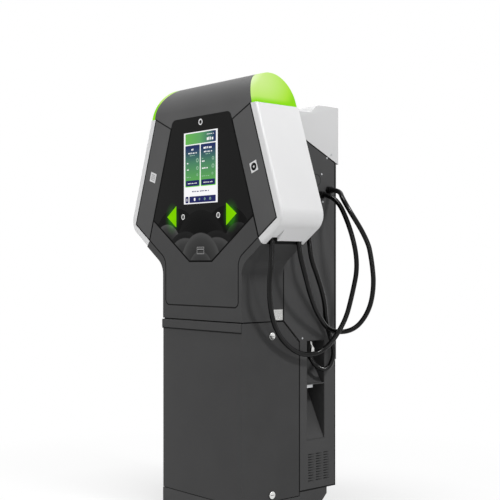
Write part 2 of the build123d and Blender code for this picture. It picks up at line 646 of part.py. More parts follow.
with BuildPart() as right_wing:
    with BuildSketch(facing(0)) as band:
        Polygon(
            (WING_TIP_X, WING_TIP_Z), OUTER_BEND, (WING_TOP_X, WING_TOP_Z),
            (side_line(WING_TOP_Z, WING_SIDE), WING_TOP_Z), INNER_BEND, TIP_INNER,
            align=None,
        )
        fillet(nearest(band, OUTER_BEND), WING_BEND)
    extrude(amount=-HEAD_DEPTH)
    # round the front edge along the outer line and the underside
    rims = [
        rim for rim in right_wing.faces().filter_by(Axis.Y).sort_by(Axis.Y)[0].edges()
        if rim.center().X > side_line(rim.center().Z, RIM_SHARE * WING_SIDE)
        or rim.center().Z < under_line(rim.center().X, RIM_SHARE * WING_UNDER)
    ]
    fillet(rims, WING_EDGE)
    # hollow, and open on the side that lies against the housing
    with BuildSketch(facing(2 * WING_WALL)) as hollow:
        Polygon(
            (WING_TIP_X + WING_WALL, under_line(WING_TIP_X + WING_WALL, wall_under)),
            bend(wall_side, wall_under),
            (side_line(WING_TOP_Z - WING_WALL, wall_side), WING_TOP_Z - WING_WALL),
            (side_line(WING_TOP_Z - WING_WALL, deep_side), WING_TOP_Z - WING_WALL),
            bend(deep_side, deep_under),
            (TIP_INNER[0] + WING_WALL, under_line(TIP_INNER[0] + WING_WALL, deep_under)),
            align=None,
        )
        fillet(nearest(hollow, bend(wall_side, wall_under)), WING_BEND - WING_WALL)
    extrude(amount=-(HEAD_DEPTH - 3 * WING_WALL), mode=Mode.SUBTRACT)
    # cable slot between the front and rear rims
    with BuildSketch(Plane.XY.offset(WING_TIP_Z - WING_TIP_CUT)):
        with Locations((
            WING_TIP_X + (SLOT_REACH - WING_TIP_CUT - WING_WALL) / 2, y((SLOT_FRONT + SLOT_REAR) / 2)
        )):
            Rectangle(SLOT_REACH + WING_TIP_CUT + WING_WALL, SLOT_REAR - SLOT_FRONT)
    extrude(amount=3 * WING_UNDER, mode=Mode.SUBTRACT)
    # hood lip over the slot
    slot_x = WING_TIP_X + SLOT_REACH
    with BuildSketch(facing(HOOD_FRONT)):
        Polygon(
            (slot_x, under_line(slot_x, WING_WALL)),
            (slot_x, under_line(slot_x, -HOOD_DROP)),
            (slot_x + HOOD_REACH, under_line(slot_x + HOOD_REACH)),
            (slot_x + HOOD_REACH, under_line(slot_x + HOOD_REACH, WING_WALL)),
            align=None,
        )
    extrude(amount=-(HOOD_REAR - HOOD_FRONT))

with BuildPart() as left_wing:
    mirror(right_wing.part, about=Plane.YZ)

# ------------------------------------------------------------------ full-round top and corner lights


def head_form(inset):
    """The head's solid top: its front outline and its arched side outline, both moved in by inset."""
    with BuildPart() as form:
        with BuildSketch(facing(inset)) as front:
            Polygon(
                *both_sides([
                    (side_line(WING_TOP_Z, inset), WING_TOP_Z),
                    (side_line(HEAD_TOP, inset), HEAD_TOP - inset),
                ]),
                align=None,
            )
            top_corner = (side_line(HEAD_TOP, inset), HEAD_TOP - inset)
            fillet(
                nearest(front, top_corner, (-top_corner[0], top_corner[1])), HEAD_CORNER - inset
            )
        extrude(amount=-(HEAD_DEPTH - 2 * inset))
        with BuildSketch(side_on(-2 * WING_TOP_X)):
            with Locations((y(HEAD_DEPTH / 2), ARCH_SPRING)):
                Ellipse(HEAD_DEPTH / 2 - inset, ARCH_RISE - inset)
            with Locations((y(HEAD_DEPTH / 2), (WING_TOP_Z + ARCH_SPRING) / 2)):
                Rectangle(HEAD_DEPTH - 2 * inset, ARCH_SPRING - WING_TOP_Z)
        extrude(amount=4 * WING_TOP_X, mode=Mode.INTERSECT)
    return form.part


def cover_face(shift):
    """Front elevation of the grey cover between the corner lights, wider each side by shift."""
    foot, crest = LIGHT_FOOT_X + shift, LIGHT_CREST_X + shift
    with BuildSketch() as face:
        with BuildLine():
            right = RadiusArc((foot, WING_TOP_Z), (crest, HEAD_TOP), -LIGHT_RADIUS)
            left = RadiusArc((-crest, HEAD_TOP), (-foot, WING_TOP_Z), -LIGHT_RADIUS)
            Polyline(right @ 1, (crest, HEAD_TOP + SKIN), (-crest, HEAD_TOP + SKIN), left @ 0)
            Line(left @ 1, right @ 0)
        make_face()
    return face.sketch


with BuildPart() as top_cover:
    add(head_form(0))
    add(head_form(SKIN), mode=Mode.SUBTRACT)
    with BuildSketch(facing(0)):
        add(cover_face(0))
    extrude(amount=-HEAD_DEPTH, mode=Mode.INTERSECT)
    # flush front part down to the glass
    with BuildSketch(facing(0)):
        Polygon(
            *both_sides([
                (side_line(MITRE_Z, SEAM_INSET), MITRE_Z),
                (side_line(WING_TOP_Z, WING_SIDE), WING_TOP_Z),
                (LIGHT_FOOT_X, WING_TOP_Z + SKIN),
            ]),
            align=None,
        )
        add(glass_face(-SEAM / 2), mode=Mode.SUBTRACT)
    extrude(amount=-FRONT_SKIN)
    # rear skirt
    with BuildSketch(facing(HEAD_DEPTH - SKIN)):
        Polygon(
            *both_sides([
                (side_line(WING_TOP_Z, WING_SIDE), HOUSING_ROOF + SEAM),
                (side_line(WING_TOP_Z, WING_SIDE), WING_TOP_Z),
                (LIGHT_FOOT_X, WING_TOP_Z + SKIN),
            ]),
            align=None,
        )
    extrude(amount=-SKIN)

with BuildPart() as right_light:
    add(head_form(0))
    add(head_form(LIGHT_WALL), mode=Mode.SUBTRACT)
    with BuildSketch(facing(0)):
        add(cover_face(SEAM / 4))
    extrude(amount=-HEAD_DEPTH, mode=Mode.SUBTRACT)
    split(bisect_by=Plane.YZ, keep=Keep.TOP)

with BuildPart() as left_light:
    mirror(right_light.part, about=Plane.YZ)

with BuildPart() as led_boards:
    # a strip of lamps on an angle under each corner light
    for side in (-1, 1):
        with BuildSketch(side_on(side * LED_X)):
            with Locations((y(HEAD_DEPTH / 2), HOUSING_ROOF + LED_HEIGHT / 2)):
                Rectangle(LED_LENGTH, LED_HEIGHT)
        extrude(amount=side * ANGLE_THICK)
        with BuildSketch(side_on(side * (LED_X + ANGLE_THICK))):
            with Locations((y(HEAD_DEPTH / 2), HOUSING_ROOF + LED_HEIGHT - LED_PITCH)):
                with GridLocations(LED_PITCH, 1, LED_COUNT, 1):
                    Rectangle(LED_SIZE, LED_SIZE)
        extrude(amount=side * SKIN)

# ------------------------------------------------------------------ lower cover and its locks
with BuildPart() as lower_cover:
    with BuildSketch(side_on(-HALF)):
        Polygon(
            *in_depth([
                (0, COVER_BOTTOM), (0, COVER_TOP), (HEAD_DEPTH, COVER_TOP),
                (COVER_DEPTH, COVER_TOP - DIAGONAL_DROP), (COVER_DEPTH, COVER_BOTTOM),
            ]),
            align=None,
        )
    extrude(amount=CABINET_WIDTH)
    front_corners = lower_cover.edges().filter_by(Axis.Z).group_by(Axis.Y)[0]
    fillet(front_corners, SKIN)
    with BuildSketch(Plane.XY.offset(COVER_BOTTOM)):
        with Locations((0, y(SKIN + COVER_DEPTH / 2))):
            Rectangle(2 * INSIDE, COVER_DEPTH)
    extrude(amount=COVER_TOP - COVER_BOTTOM, mode=Mode.SUBTRACT)
    # folded edges at the top and bottom of the front
    for edge_z in (COVER_BOTTOM, COVER_TOP - SKIN):
        with BuildSketch(Plane.XY.offset(edge_z)):
            with Locations((0, y(SKIN + COVER_FOLD / 2))):
                Rectangle(2 * INSIDE, COVER_FOLD)
        extrude(amount=SKIN)
    # holes for the locks
    with BuildSketch(side_on(-HALF)):
        for lock_z in LOCK_HEIGHTS:
            with Locations((y(LOCK_DEPTH), lock_z)):
                Circle(LOCK_SHAFT_RADIUS + LOCK_CLEARANCE)
    extrude(amount=CABINET_WIDTH, mode=Mode.SUBTRACT)

with BuildPart() as cover_lip:
    with BuildSketch(facing(-COVER_LIP)):
        with Locations((0, (LIP_BOTTOM + COVER_TOP) / 2)):
            Rectangle(CABINET_WIDTH, COVER_TOP - LIP_BOTTOM)
    extrude(amount=-COVER_LIP)


def quarter_turn_lock(side, lock_z):
    """A slotted head outside the cover, a stud through it and a cross bar inside."""
    with BuildPart() as lock:
        with BuildSketch(side_on(side * (HALF + LOCK_GAP))):
            with Locations((y(LOCK_DEPTH), lock_z)):
                Circle(LOCK_HEAD_RADIUS)
        extrude(amount=side * LOCK_HEAD)
        outer_rim = lock.faces().sort_by(Axis.X)[-1 if side > 0 else 0].edges()
        fillet(outer_rim, LOCK_EDGE)
        with BuildSketch(side_on(side * (HALF + LOCK_GAP + LOCK_HEAD))):
            with Locations((y(LOCK_DEPTH), lock_z)):
                Rectangle(LOCK_SLOT_LENGTH, LOCK_SLOT)
        extrude(amount=-side * LOCK_SLOT, mode=Mode.SUBTRACT)
        with BuildSketch(side_on(side * LOCK_BAR_X)):
            with Locations((y(LOCK_DEPTH), lock_z)):
                Circle(LOCK_SHAFT_RADIUS)
        extrude(amount=side * (HALF + LOCK_GAP - LOCK_BAR_X))
        with BuildSketch(side_on(side * LOCK_BAR_X)):
            with Locations((y(LOCK_DEPTH), lock_z)):
                Rectangle(LOCK_BAR_WIDTH, LOCK_BAR_LENGTH)
        extrude(amount=side * LOCK_BAR_WIDTH / 2)
    return lock


left_low_lock = quarter_turn_lock(-1, LOCK_HEIGHTS[0])
left_high_lock = quarter_turn_lock(-1, LOCK_HEIGHTS[1])
right_low_lock = quarter_turn_lock(1, LOCK_HEIGHTS[0])
right_high_lock = quarter_turn_lock(1, LOCK_HEIGHTS[1])

# ------------------------------------------------------------------ rear cabinet
CAP_SLOPE = (CAP_EDGE_REAR_Z - CAP_EDGE_FRONT_Z) / (CABINET_DEPTH + CAP_OVERHANG - HEAD_DEPTH)
GLANDS = (GLAND_D, GLAND_E, GLAND_F)


def cap_edge(depth, drop=0):
    """Height of the cap's sloping lower edge at a depth, or of a line below it."""
    return CAP_EDGE_FRONT_Z + (depth - HEAD_DEPTH) * CAP_SLOPE - drop


# a niche has two pockets; each has a deep back that slopes out to its foot: X and height
UPPER_POCKET = [
    (HALF + SKIN, NICHE_TOP), (NICHE_BACK_X, NICHE_TOP), (NICHE_BACK_X, UPPER_RAMP_Z),
    (UPPER_FOOT_X, NICHE_SPLIT + NICHE_WALL), (HALF + SKIN, NICHE_SPLIT + NICHE_WALL),
]
LOWER_POCKET = [
    (HALF + SKIN, NICHE_SPLIT - NICHE_WALL), (NICHE_BACK_X, NICHE_SPLIT - NICHE_WALL),
    (NICHE_BACK_X, LOWER_RAMP_Z), (LOWER_FOOT_X, NICHE_BOTTOM), (HALF + SKIN, NICHE_BOTTOM),
]
NICHE_MID = (NICHE_FRONT + NICHE_WIDTH / 2, (NICHE_TOP + NICHE_BOTTOM) / 2)
NICHE_HEIGHT = NICHE_TOP - NICHE_BOTTOM

with BuildPart() as right_side_plate:
    with BuildSketch(side_on(INSIDE)):
        Polygon(
            *in_depth([
                (COVER_DEPTH + SEAM, REAR_BOTTOM),
                (COVER_DEPTH + SEAM, COVER_TOP - DIAGONAL_DROP + SEAM),
                (HEAD_DEPTH + SEAM, COVER_TOP + SEAM),
                (HEAD_DEPTH + SEAM, cap_edge(HEAD_DEPTH + SEAM, SEAM)),
                (CABINET_DEPTH, cap_edge(CABINET_DEPTH, SEAM)),
                (CABINET_DEPTH, REAR_BOTTOM),
            ]),
            align=None,
        )
        with Locations((y(NICHE_MID[0]), NICHE_MID[1])):
            Rectangle(
                NICHE_WIDTH + 2 * (NICHE_WALL + FIT), NICHE_HEIGHT + 2 * (NICHE_WALL + FIT),
                mode=Mode.SUBTRACT,
            )
        with Locations((
            y(VENT_FRONT + VENT_WIDTH / 2),
            VENT_TOP - (VENT_ROWS - 1) * VENT_ROW_PITCH / 2,
        )):
            with GridLocations(VENT_COLUMN_PITCH, VENT_ROW_PITCH, VENT_COLUMNS, VENT_ROWS):
                SlotOverall(VENT_LENGTH, VENT_HEIGHT, mode=Mode.SUBTRACT)
        for depth, z in GLANDS:
            with Locations((y(depth), z)):
                Circle(CABLE_RADIUS + FIT, mode=Mode.SUBTRACT)
    extrude(amount=SKIN)
    # folded rear edge
    with BuildSketch(facing(CABINET_DEPTH - 2 * SKIN)):
        with Locations((INSIDE - REAR_FOLD / 2, (REAR_BOTTOM + FOLD_TOP) / 2)):
            Rectangle(REAR_FOLD, FOLD_TOP - REAR_BOTTOM)
    extrude(amount=-SKIN)

with BuildPart() as left_side_plate:
    mirror(right_side_plate.part, about=Plane.YZ)

with BuildPart() as right_niche:
    for pocket in (UPPER_POCKET, LOWER_POCKET):
        with BuildSketch(facing(NICHE_FRONT - NICHE_WALL)):
            Polygon(*pocket, align=None)
            offset(amount=NICHE_WALL, kind=Kind.INTERSECTION, mode=Mode.REPLACE)
        extrude(amount=-(NICHE_WIDTH + 2 * NICHE_WALL))
    # flange against the inside of the side plate
    with BuildSketch(side_on(INSIDE - NICHE_WALL)):
        with Locations((y(NICHE_MID[0]), NICHE_MID[1])):
            Rectangle(NICHE_WIDTH + 2 * NICHE_FLANGE, NICHE_HEIGHT + 2 * NICHE_FLANGE)
    extrude(amount=NICHE_WALL)
    for pocket in (UPPER_POCKET, LOWER_POCKET):
        with BuildSketch(facing(NICHE_FRONT)):
            Polygon(*pocket, align=None)
        extrude(amount=-NICHE_WIDTH, mode=Mode.SUBTRACT)
    # flush with the outside of the side plate
    with BuildSketch(side_on(HALF)):
        with Locations((y(NICHE_MID[0]), NICHE_MID[1])):
            Rectangle(2 * NICHE_WIDTH, 2 * NICHE_HEIGHT)
    extrude(amount=2 * SKIN, mode=Mode.SUBTRACT)
    # hole in the upper pocket's roof for a parked connector
    with BuildSketch(Plane.XY.offset(NICHE_TOP)):
        with Locations((POCKET_PLUG_X, y(POCKET_PLUG_DEPTH))):
            Circle(POCKET_NOSE_RADIUS + FIT)
    extrude(amount=NICHE_WALL, mode=Mode.SUBTRACT)

with BuildPart() as left_niche:
    mirror(right_niche.part, about=Plane.YZ)

with BuildPart() as holder_plates:
    # a metal lip under the roof of each lower pocket
    for side in (-1, 1):
        with BuildSketch(side_on(side * (HALF - HOLDER_INSET))):
            with Locations((
                y(NICHE_FRONT + HOLDER_WIDTH / 2), NICHE_SPLIT - NICHE_WALL - HOLDER_HEIGHT / 2
            )):
                Rectangle(HOLDER_WIDTH, HOLDER_HEIGHT)
        extrude(amount=-side * NICHE_WALL)

with BuildPart() as rear_lower_panel:
    with BuildSketch(facing(CABINET_DEPTH - SKIN)):
        with Locations((0, (REAR_BOTTOM + DOOR_BOTTOM - 2 * SEAM) / 2)):
            Rectangle(2 * (INSIDE - FIT), DOOR_BOTTOM - 2 * SEAM - REAR_BOTTOM)
        for side in (-1, 1):
            with Locations((side * FAN_X, FAN_Z)):
                with GridLocations(1, FAN_SLOT_PITCH, 1, FAN_SLOTS):
                    SlotOverall(FAN_SLOT_LENGTH, VENT_HEIGHT, mode=Mode.SUBTRACT)
    extrude(amount=-SKIN)

with BuildPart() as rear_cap:
    cap_rear = CABINET_DEPTH + CAP_OVERHANG
    with BuildSketch(side_on(-HALF)):
        with BuildLine():
            start = (y(HEAD_DEPTH + SEAM), CAP_FRONT_Z - SKIN)
            crest = Spline(
                (y(CAP_FOOT_DEPTH), CAP_FRONT_Z), (y(CAP_CREST_DEPTH), CAP_TOP),
                tangents=[(1, 0), (1, 0)],
            )
            Polyline(
                crest @ 1, (y(cap_rear), CAP_TOP), (y(cap_rear), CAP_EDGE_REAR_Z),
                (y(HEAD_DEPTH + SEAM), cap_edge(HEAD_DEPTH + SEAM)), start, crest @ 0,
            )
        make_face()
    extrude(amount=CABINET_WIDTH)
    # hollow, and open below
    with BuildSketch(side_on(-INSIDE)):
        with BuildLine():
            crest = Spline(
                (y(CAP_FOOT_DEPTH), CAP_FRONT_Z - SKIN), (y(CAP_CREST_DEPTH), CAP_TOP - SKIN),
                tangents=[(1, 0), (1, 0)],
            )
            Polyline(
                crest @ 1, (y(cap_rear - SKIN), CAP_TOP - SKIN),
                (y(cap_rear - SKIN), CAP_EDGE_REAR_Z - SKIN),
                (y(HEAD_DEPTH + SEAM + SKIN), CAP_EDGE_REAR_Z - SKIN),
                (y(HEAD_DEPTH + SEAM + SKIN), CAP_FRONT_Z - 2 * SKIN), crest @ 0,
            )
        make_face()
    extrude(amount=2 * INSIDE, mode=Mode.SUBTRACT)
    # inner flanges that rest against the side plates
    for side in (-1, 1):
        with BuildSketch(side_on(side * INSIDE)):
            Polygon(
                *in_depth([
                    (HEAD_DEPTH + SEAM, cap_edge(HEAD_DEPTH + SEAM, CAP_FLANGE)),
                    (HEAD_DEPTH + SEAM, cap_edge(HEAD_DEPTH + SEAM, -CAP_FLANGE)),
                    (CABINET_DEPTH - 2 * SKIN, cap_edge(CABINET_DEPTH, -CAP_FLANGE)),
                    (CABINET_DEPTH - 2 * SKIN, cap_edge(CABINET_DEPTH, CAP_FLANGE)),
                ]),
                align=None,
            )
        extrude(amount=-side * ANGLE_THICK / 2)

# ------------------------------------------------------------------ rear door
DOOR_MID_Z = (DOOR_BOTTOM + DOOR_TOP) / 2
DOOR_HEIGHT = DOOR_TOP - DOOR_BOTTOM

with BuildPart() as rear_door:
    with BuildSketch(facing(CABINET_DEPTH + DOOR_GAP)):
        with Locations((0, DOOR_MID_Z)):
            Rectangle(CABINET_WIDTH, DOOR_HEIGHT)
    extrude(amount=-(DOOR_STEP - DOOR_GAP))
    with BuildSketch(facing(CABINET_DEPTH + DOOR_GAP)):
        with Locations((0, DOOR_MID_Z)):
            Rectangle(2 * INSIDE, DOOR_HEIGHT - 2 * SKIN)
    extrude(amount=-(DOOR_STEP - DOOR_GAP - SKIN), mode=Mode.SUBTRACT)
    with BuildSketch(facing(CABINET_DEPTH)):
        with Locations((HANDLE_X, HANDLE_Z)):
            Circle(HANDLE_SHAFT_RADIUS + HANDLE_CLEARANCE)
    extrude(amount=-2 * DOOR_STEP, mode=Mode.SUBTRACT)
    # moving knuckles
    for hinge_z in HINGE_HEIGHTS:
        with BuildSketch(Plane.XY.offset(hinge_z - KNUCKLE / 2 + KNUCKLE_GAP)):
            with Locations((-HINGE_X, y(HINGE_DEPTH))):
                Circle(KNUCKLE_RADIUS)
            with Locations((-(HINGE_X + HALF) / 2, y(HINGE_DEPTH + KNUCKLE_TAB / 2))):
                Rectangle(HINGE_X - HALF, KNUCKLE_TAB)
            with Locations((-HINGE_X, y(HINGE_DEPTH))):
                Circle(PIN_RADIUS + PIN_CLEARANCE, mode=Mode.SUBTRACT)
        extrude(amount=KNUCKLE - 2 * KNUCKLE_GAP)

with BuildPart() as door_gasket:
    with BuildSketch(facing(CABINET_DEPTH - SKIN + FIT)):
        with Locations((0, DOOR_MID_Z)):
            Rectangle(2 * (INSIDE - SKIN), DOOR_HEIGHT - 4 * SKIN)
            Rectangle(
                2 * (INSIDE - SKIN - GASKET), DOOR_HEIGHT - 4 * SKIN - 2 * GASKET, mode=Mode.SUBTRACT
            )
    extrude(amount=-(DOOR_STEP - FIT))

with BuildPart() as door_hinges:
    for hinge_z in HINGE_HEIGHTS:
        for end in (-1, 1):
            with BuildSketch(Plane.XY.offset(hinge_z + end * KNUCKLE - KNUCKLE / 2)):
                with Locations((-HINGE_X, y(HINGE_DEPTH))):
                    Circle(KNUCKLE_RADIUS)
                with Locations((-(HALF + LEAF / 2 + LEAF_GAP), y(HINGE_DEPTH - LEAF_REACH / 2))):
                    Rectangle(LEAF, LEAF_REACH)
            extrude(amount=KNUCKLE)
        # the plate on the cabinet's side
        with BuildSketch(side_on(-HALF)):
            with Locations((y(HINGE_DEPTH - LEAF_REACH), hinge_z)):
                Rectangle(LEAF_LENGTH, 3 * KNUCKLE)
        extrude(amount=-(LEAF_GAP + LEAF))
        # the pin through all three knuckles
        with BuildSketch(Plane.XY.offset(hinge_z - 1.5 * KNUCKLE)):
            with Locations((-HINGE_X, y(HINGE_DEPTH))):
                Circle(PIN_RADIUS)
        extrude(amount=3 * KNUCKLE)

with BuildPart() as handle_base:
    with BuildSketch(facing(DOOR_FACE)):
        with Locations((HANDLE_X, HANDLE_Z - HANDLE_LENGTH / 2 + HANDLE_WIDTH / 2)):
            RectangleRounded(HANDLE_WIDTH + LEDGE, HANDLE_LENGTH + LEDGE, LEDGE)
        with Locations((HANDLE_X, HANDLE_Z)):
            Circle(HANDLE_SHAFT_RADIUS + HANDLE_CLEARANCE, mode=Mode.SUBTRACT)
    extrude(amount=-SKIN)

with BuildPart() as door_handle:
    with BuildSketch(facing(DOOR_FACE + SKIN + HANDLE_GAP)):
        with Locations((HANDLE_X, HANDLE_Z - HANDLE_LENGTH / 2 + HANDLE_WIDTH / 2)):
            RectangleRounded(HANDLE_WIDTH, HANDLE_LENGTH, HANDLE_WIDTH / 2 - FIT)
    extrude(amount=-HANDLE_THICK)
    with BuildSketch(facing(CAM_FACE)):
        with Locations((HANDLE_X, HANDLE_Z)):
            Circle(HANDLE_SHAFT_RADIUS)
    extrude(amount=-(DOOR_FACE + SKIN + HANDLE_GAP - CAM_FACE))
    with BuildSketch(facing(CAM_FACE)):
        with Locations((HANDLE_X, HANDLE_Z - CAM_LENGTH / 2 + HANDLE_SHAFT_RADIUS)):
            Rectangle(2 * HANDLE_SHAFT_RADIUS + SKIN, CAM_LENGTH)
    extrude(amount=-SKIN)

# ------------------------------------------------------------------ fans and equipment
FAN_BACK = CABINET_DEPTH - SKIN

with BuildPart() as fan_housings:
    for side in (-1, 1):
        with BuildSketch(facing(FAN_BACK - FAN_DEPTH)):
            with Locations((side * FAN_X, FAN_Z)):
                RectangleRounded(FAN_SIZE, FAN_SIZE, LEDGE / 2)
                Circle(FAN_BORE, mode=Mode.SUBTRACT)
        extrude(amount=-FAN_DEPTH)
        # spider and spindle
        with BuildSketch(facing(FAN_BACK - FAN_DEPTH)):
            with Locations((side * FAN_X, FAN_Z)):
                Circle(FAN_HUB)
                with Locations(Rot(0, 0, 45)):
                    Rectangle(2 * FAN_BORE + SKIN, 2 * SKIN)
                    Rectangle(2 * SKIN, 2 * FAN_BORE + SKIN)
        extrude(amount=-2 * SKIN)
        with BuildSketch(facing(FAN_BACK - FAN_DEPTH)):
            with Locations((side * FAN_X, FAN_Z)):
                Circle(SPINDLE_RADIUS)
        extrude(amount=-(FAN_DEPTH - LEDGE / 2))


def fan_rotor(side):
    """A hub with slanted blades that turns on the fan's spindle."""
    with BuildPart() as rotor:
        with BuildSketch(facing(FAN_BACK - FAN_DEPTH + 3 * SKIN)):
            with Locations((side * FAN_X, FAN_Z)):
                Circle(FAN_HUB)
        extrude(amount=-(FAN_DEPTH - 5 * SKIN))
        middle = y(FAN_BACK - FAN_DEPTH / 2 + SKIN / 2)
        blade_reach = FAN_BORE - FAN_HUB
        for turn in range(FAN_BLADES):
            with Locations(Location((side * FAN_X, middle, FAN_Z), (0, turn * 360 / FAN_BLADES, 0))):
                with Locations(Location((FAN_BORE - blade_reach / 2 - SKIN, 0, 0), (FAN_PITCH, 0, 0))):
                    Box(blade_reach, BLADE_THICK, BLADE_CHORD)
        with BuildSketch(facing(FAN_BACK - FAN_DEPTH)):
            with Locations((side * FAN_X, FAN_Z)):
                Circle(SPINDLE_RADIUS + PIN_CLEARANCE)
        extrude(amount=-FAN_DEPTH, mode=Mode.SUBTRACT)
    return rotor


left_fan_rotor = fan_rotor(-1)
right_fan_rotor = fan_rotor(1)

PLATE_FACE = MID_POST_DEPTH - SKIN

with BuildPart() as power_modules:
    with BuildSketch(facing(PLATE_FACE - MODULE_DEPTH)):
        with Locations((0, MODULE_Z)):
            with GridLocations(MODULE_PITCH, 1, MODULE_COUNT, 1):
                Rectangle(MODULE_WIDTH, MODULE_HEIGHT)
    extrude(amount=-MODULE_DEPTH)
    with BuildSketch(facing(PLATE_FACE - MODULE_DEPTH)):
        with Locations((0, MODULE_Z)):
            with GridLocations(MODULE_PITCH, 1, MODULE_COUNT, 1):
                with GridLocations(1, VENT_ROW_PITCH, 1, VENT_ROWS):
                    SlotOverall(MODULE_WIDTH / 2, VENT_HEIGHT)
    extrude(amount=-2 * SKIN, mode=Mode.SUBTRACT)

with BuildPart() as din_rails:
    for rail_z in DIN_HEIGHTS:
        with BuildSketch(facing(PLATE_FACE - DIN_DEPTH)):
            with Locations((0, rail_z)):
                Rectangle(DIN_LENGTH, DIN_WIDTH)
        extrude(amount=-DIN_THICK)
        with BuildSketch(facing(PLATE_FACE - DIN_DEPTH)):
            with Locations((0, rail_z)):
                Rectangle(DIN_LENGTH, DIN_WIDTH / 2)
        extrude(amount=-DIN_DEPTH)

with BuildPart() as rail_devices:
    with BuildSketch(facing(PLATE_FACE - DIN_DEPTH - CONTACTOR_DEPTH)):
        with Locations((0, DIN_HEIGHTS[0])):
            with GridLocations(CONTACTOR_PITCH, 1, CONTACTOR_COUNT, 1):
                Rectangle(CONTACTOR_WIDTH, CONTACTOR_HEIGHT)
    extrude(amount=-CONTACTOR_DEPTH)
    # terminals on the second rail
    with BuildSketch(facing(PLATE_FACE - DIN_DEPTH - TERMINAL_DEPTH)):
        with Locations((0, DIN_HEIGHTS[1])):
            with GridLocations(TERMINAL_PITCH, 1, TERMINAL_COUNT, 1):
                Rectangle(TERMINAL_PITCH - FIT, TERMINAL_HEIGHT)
    extrude(amount=-TERMINAL_DEPTH)
    # the end stop that holds the row together
    with BuildSketch(facing(PLATE_FACE - DIN_DEPTH - DIN_DEPTH / 2)):
        with Locations((0, DIN_HEIGHTS[1])):
            Rectangle(TERMINAL_PITCH * (TERMINAL_COUNT + 2), TERMINAL_HEIGHT / 2)
    extrude(amount=-DIN_DEPTH / 2)

with BuildPart() as controller_unit:
    with BuildSketch(facing(PLATE_FACE - CONTROLLER_DEPTH)):
        with Locations((0, CONTROLLER_Z)):
            RectangleRounded(CONTROLLER_WIDTH, CONTROLLER_HEIGHT, LEDGE)
    extrude(amount=-CONTROLLER_DEPTH)

# ------------------------------------------------------------------ holsters, plugs and cables
with BuildPart() as right_holster:
    with BuildSketch(Plane.XY.offset(PLUG_BOTTOM + PLUG_BODY)):
        with Locations((PLUG_X, y((HOLSTER_FRONT + HEAD_DEPTH - SKIN) / 2))):
            Rectangle(HOLSTER_WIDTH, HEAD_DEPTH - SKIN - HOLSTER_FRONT)
    extrude(amount=HOLSTER_HEIGHT)
    with BuildSketch(Plane.XY.offset(PLUG_BOTTOM + PLUG_BODY)):
        for depth in PLUG_DEPTHS:
            with Locations((PLUG_X, y(depth))):
                Circle(NOSE_RADIUS + FIT)
    extrude(amount=NOSE_LENGTH + FIT, mode=Mode.SUBTRACT)

with BuildPart() as left_holster:
    mirror(right_holster.part, about=Plane.YZ)


def hanging_plug(depth):
    """A connector that hangs nose up in its holster, with the cable leaving below."""
    with BuildPart() as plug:
        with BuildSketch(Plane.XY.offset(PLUG_BOTTOM)):
            with Locations((PLUG_X, y(depth))):
                Circle(PLUG_RADIUS)
        extrude(amount=PLUG_BODY)
        chamfer(plug.edges().filter_by(GeomType.CIRCLE).sort_by(Axis.Z)[0], PLUG_CHAMFER)
        with BuildSketch(Plane.XY.offset(PLUG_BOTTOM + PLUG_BODY)):
            with Locations((PLUG_X, y(depth))):
                Circle(NOSE_RADIUS)
        extrude(amount=NOSE_LENGTH)
    return plug


front_plug = hanging_plug(PLUG_DEPTHS[0])
rear_plug = hanging_plug(PLUG_DEPTHS[1])

with BuildPart() as pocket_plug:
    with BuildSketch(Plane.XY.offset(POCKET_PLUG_Z)):
        with Locations((POCKET_PLUG_X, y(POCKET_PLUG_DEPTH))):
            Circle(POCKET_PLUG_RADIUS)
    extrude(amount=NICHE_TOP - POCKET_PLUG_Z)
    chamfer(
        pocket_plug.edges().filter_by(GeomType.CIRCLE).sort_by(Axis.Z)[0], POCKET_CHAMFER
    )
    with BuildSketch(Plane.XY.offset(NICHE_TOP)):
        with Locations((POCKET_PLUG_X, y(POCKET_PLUG_DEPTH))):
            Circle(POCKET_NOSE_RADIUS)
    extrude(amount=LEDGE)
    # ears for the release lever
    for end in (-1, 1):
        with BuildSketch(side_on(POCKET_PLUG_X + end * EAR_X - EAR / 2)):
            with Locations((y(POCKET_PLUG_DEPTH - POCKET_PLUG_RADIUS), LEVER_Z)):
                Rectangle(2 * EAR_REACH, EAR_HEIGHT)
            with Locations((y(POCKET_PLUG_DEPTH - POCKET_PLUG_RADIUS - EAR_REACH / 2), LEVER_Z)):
                Circle(LEVER_PIN_RADIUS + PIN_CLEARANCE, mode=Mode.SUBTRACT)
        extrude(amount=EAR)

with BuildPart() as release_lever:
    lever_y = y(POCKET_PLUG_DEPTH - POCKET_PLUG_RADIUS - EAR_REACH / 2)
    with BuildSketch(side_on(POCKET_PLUG_X - LEVER_WIDTH / 2)):
        with Locations((lever_y, LEVER_Z - LEVER_LENGTH / 2 + LEVER_THICK / 2)):
            RectangleRounded(LEVER_THICK, LEVER_LENGTH, LEVER_THICK / 2 - FIT)
    extrude(amount=LEVER_WIDTH)
    with BuildSketch(side_on(POCKET_PLUG_X - EAR_X - EAR / 2)):
        with Locations((lever_y, LEVER_Z)):
            Circle(LEVER_PIN_RADIUS)
    extrude(amount=2 * EAR_X + EAR)


def cord(points):
    """A round cable through the given corners, each corner rounded as far as its runs allow."""
    corners = [Vector(px, y(depth), pz) for px, depth, pz in points]
    radii = []
    for before, here, after in zip(corners, corners[1:], corners[2:]):
        turn = (here - before).get_angle(after - here)
        run = min((here - before).length, (after - here).length)
        radii.append(CORD_SHARE * run / tan(radians(turn) / 2))
    with BuildPart() as cable:
        with BuildLine() as path:
            FilletPolyline(*corners, radius=radii)
        with BuildSketch(Plane(origin=path.line @ 0, z_dir=path.line % 0)):
            Circle(CABLE_RADIUS)
        sweep()
    return cable


front_cable = cord(FRONT_CABLE)
rear_cable = cord(REAR_CABLE)
pocket_cable = cord(POCKET_CABLE)

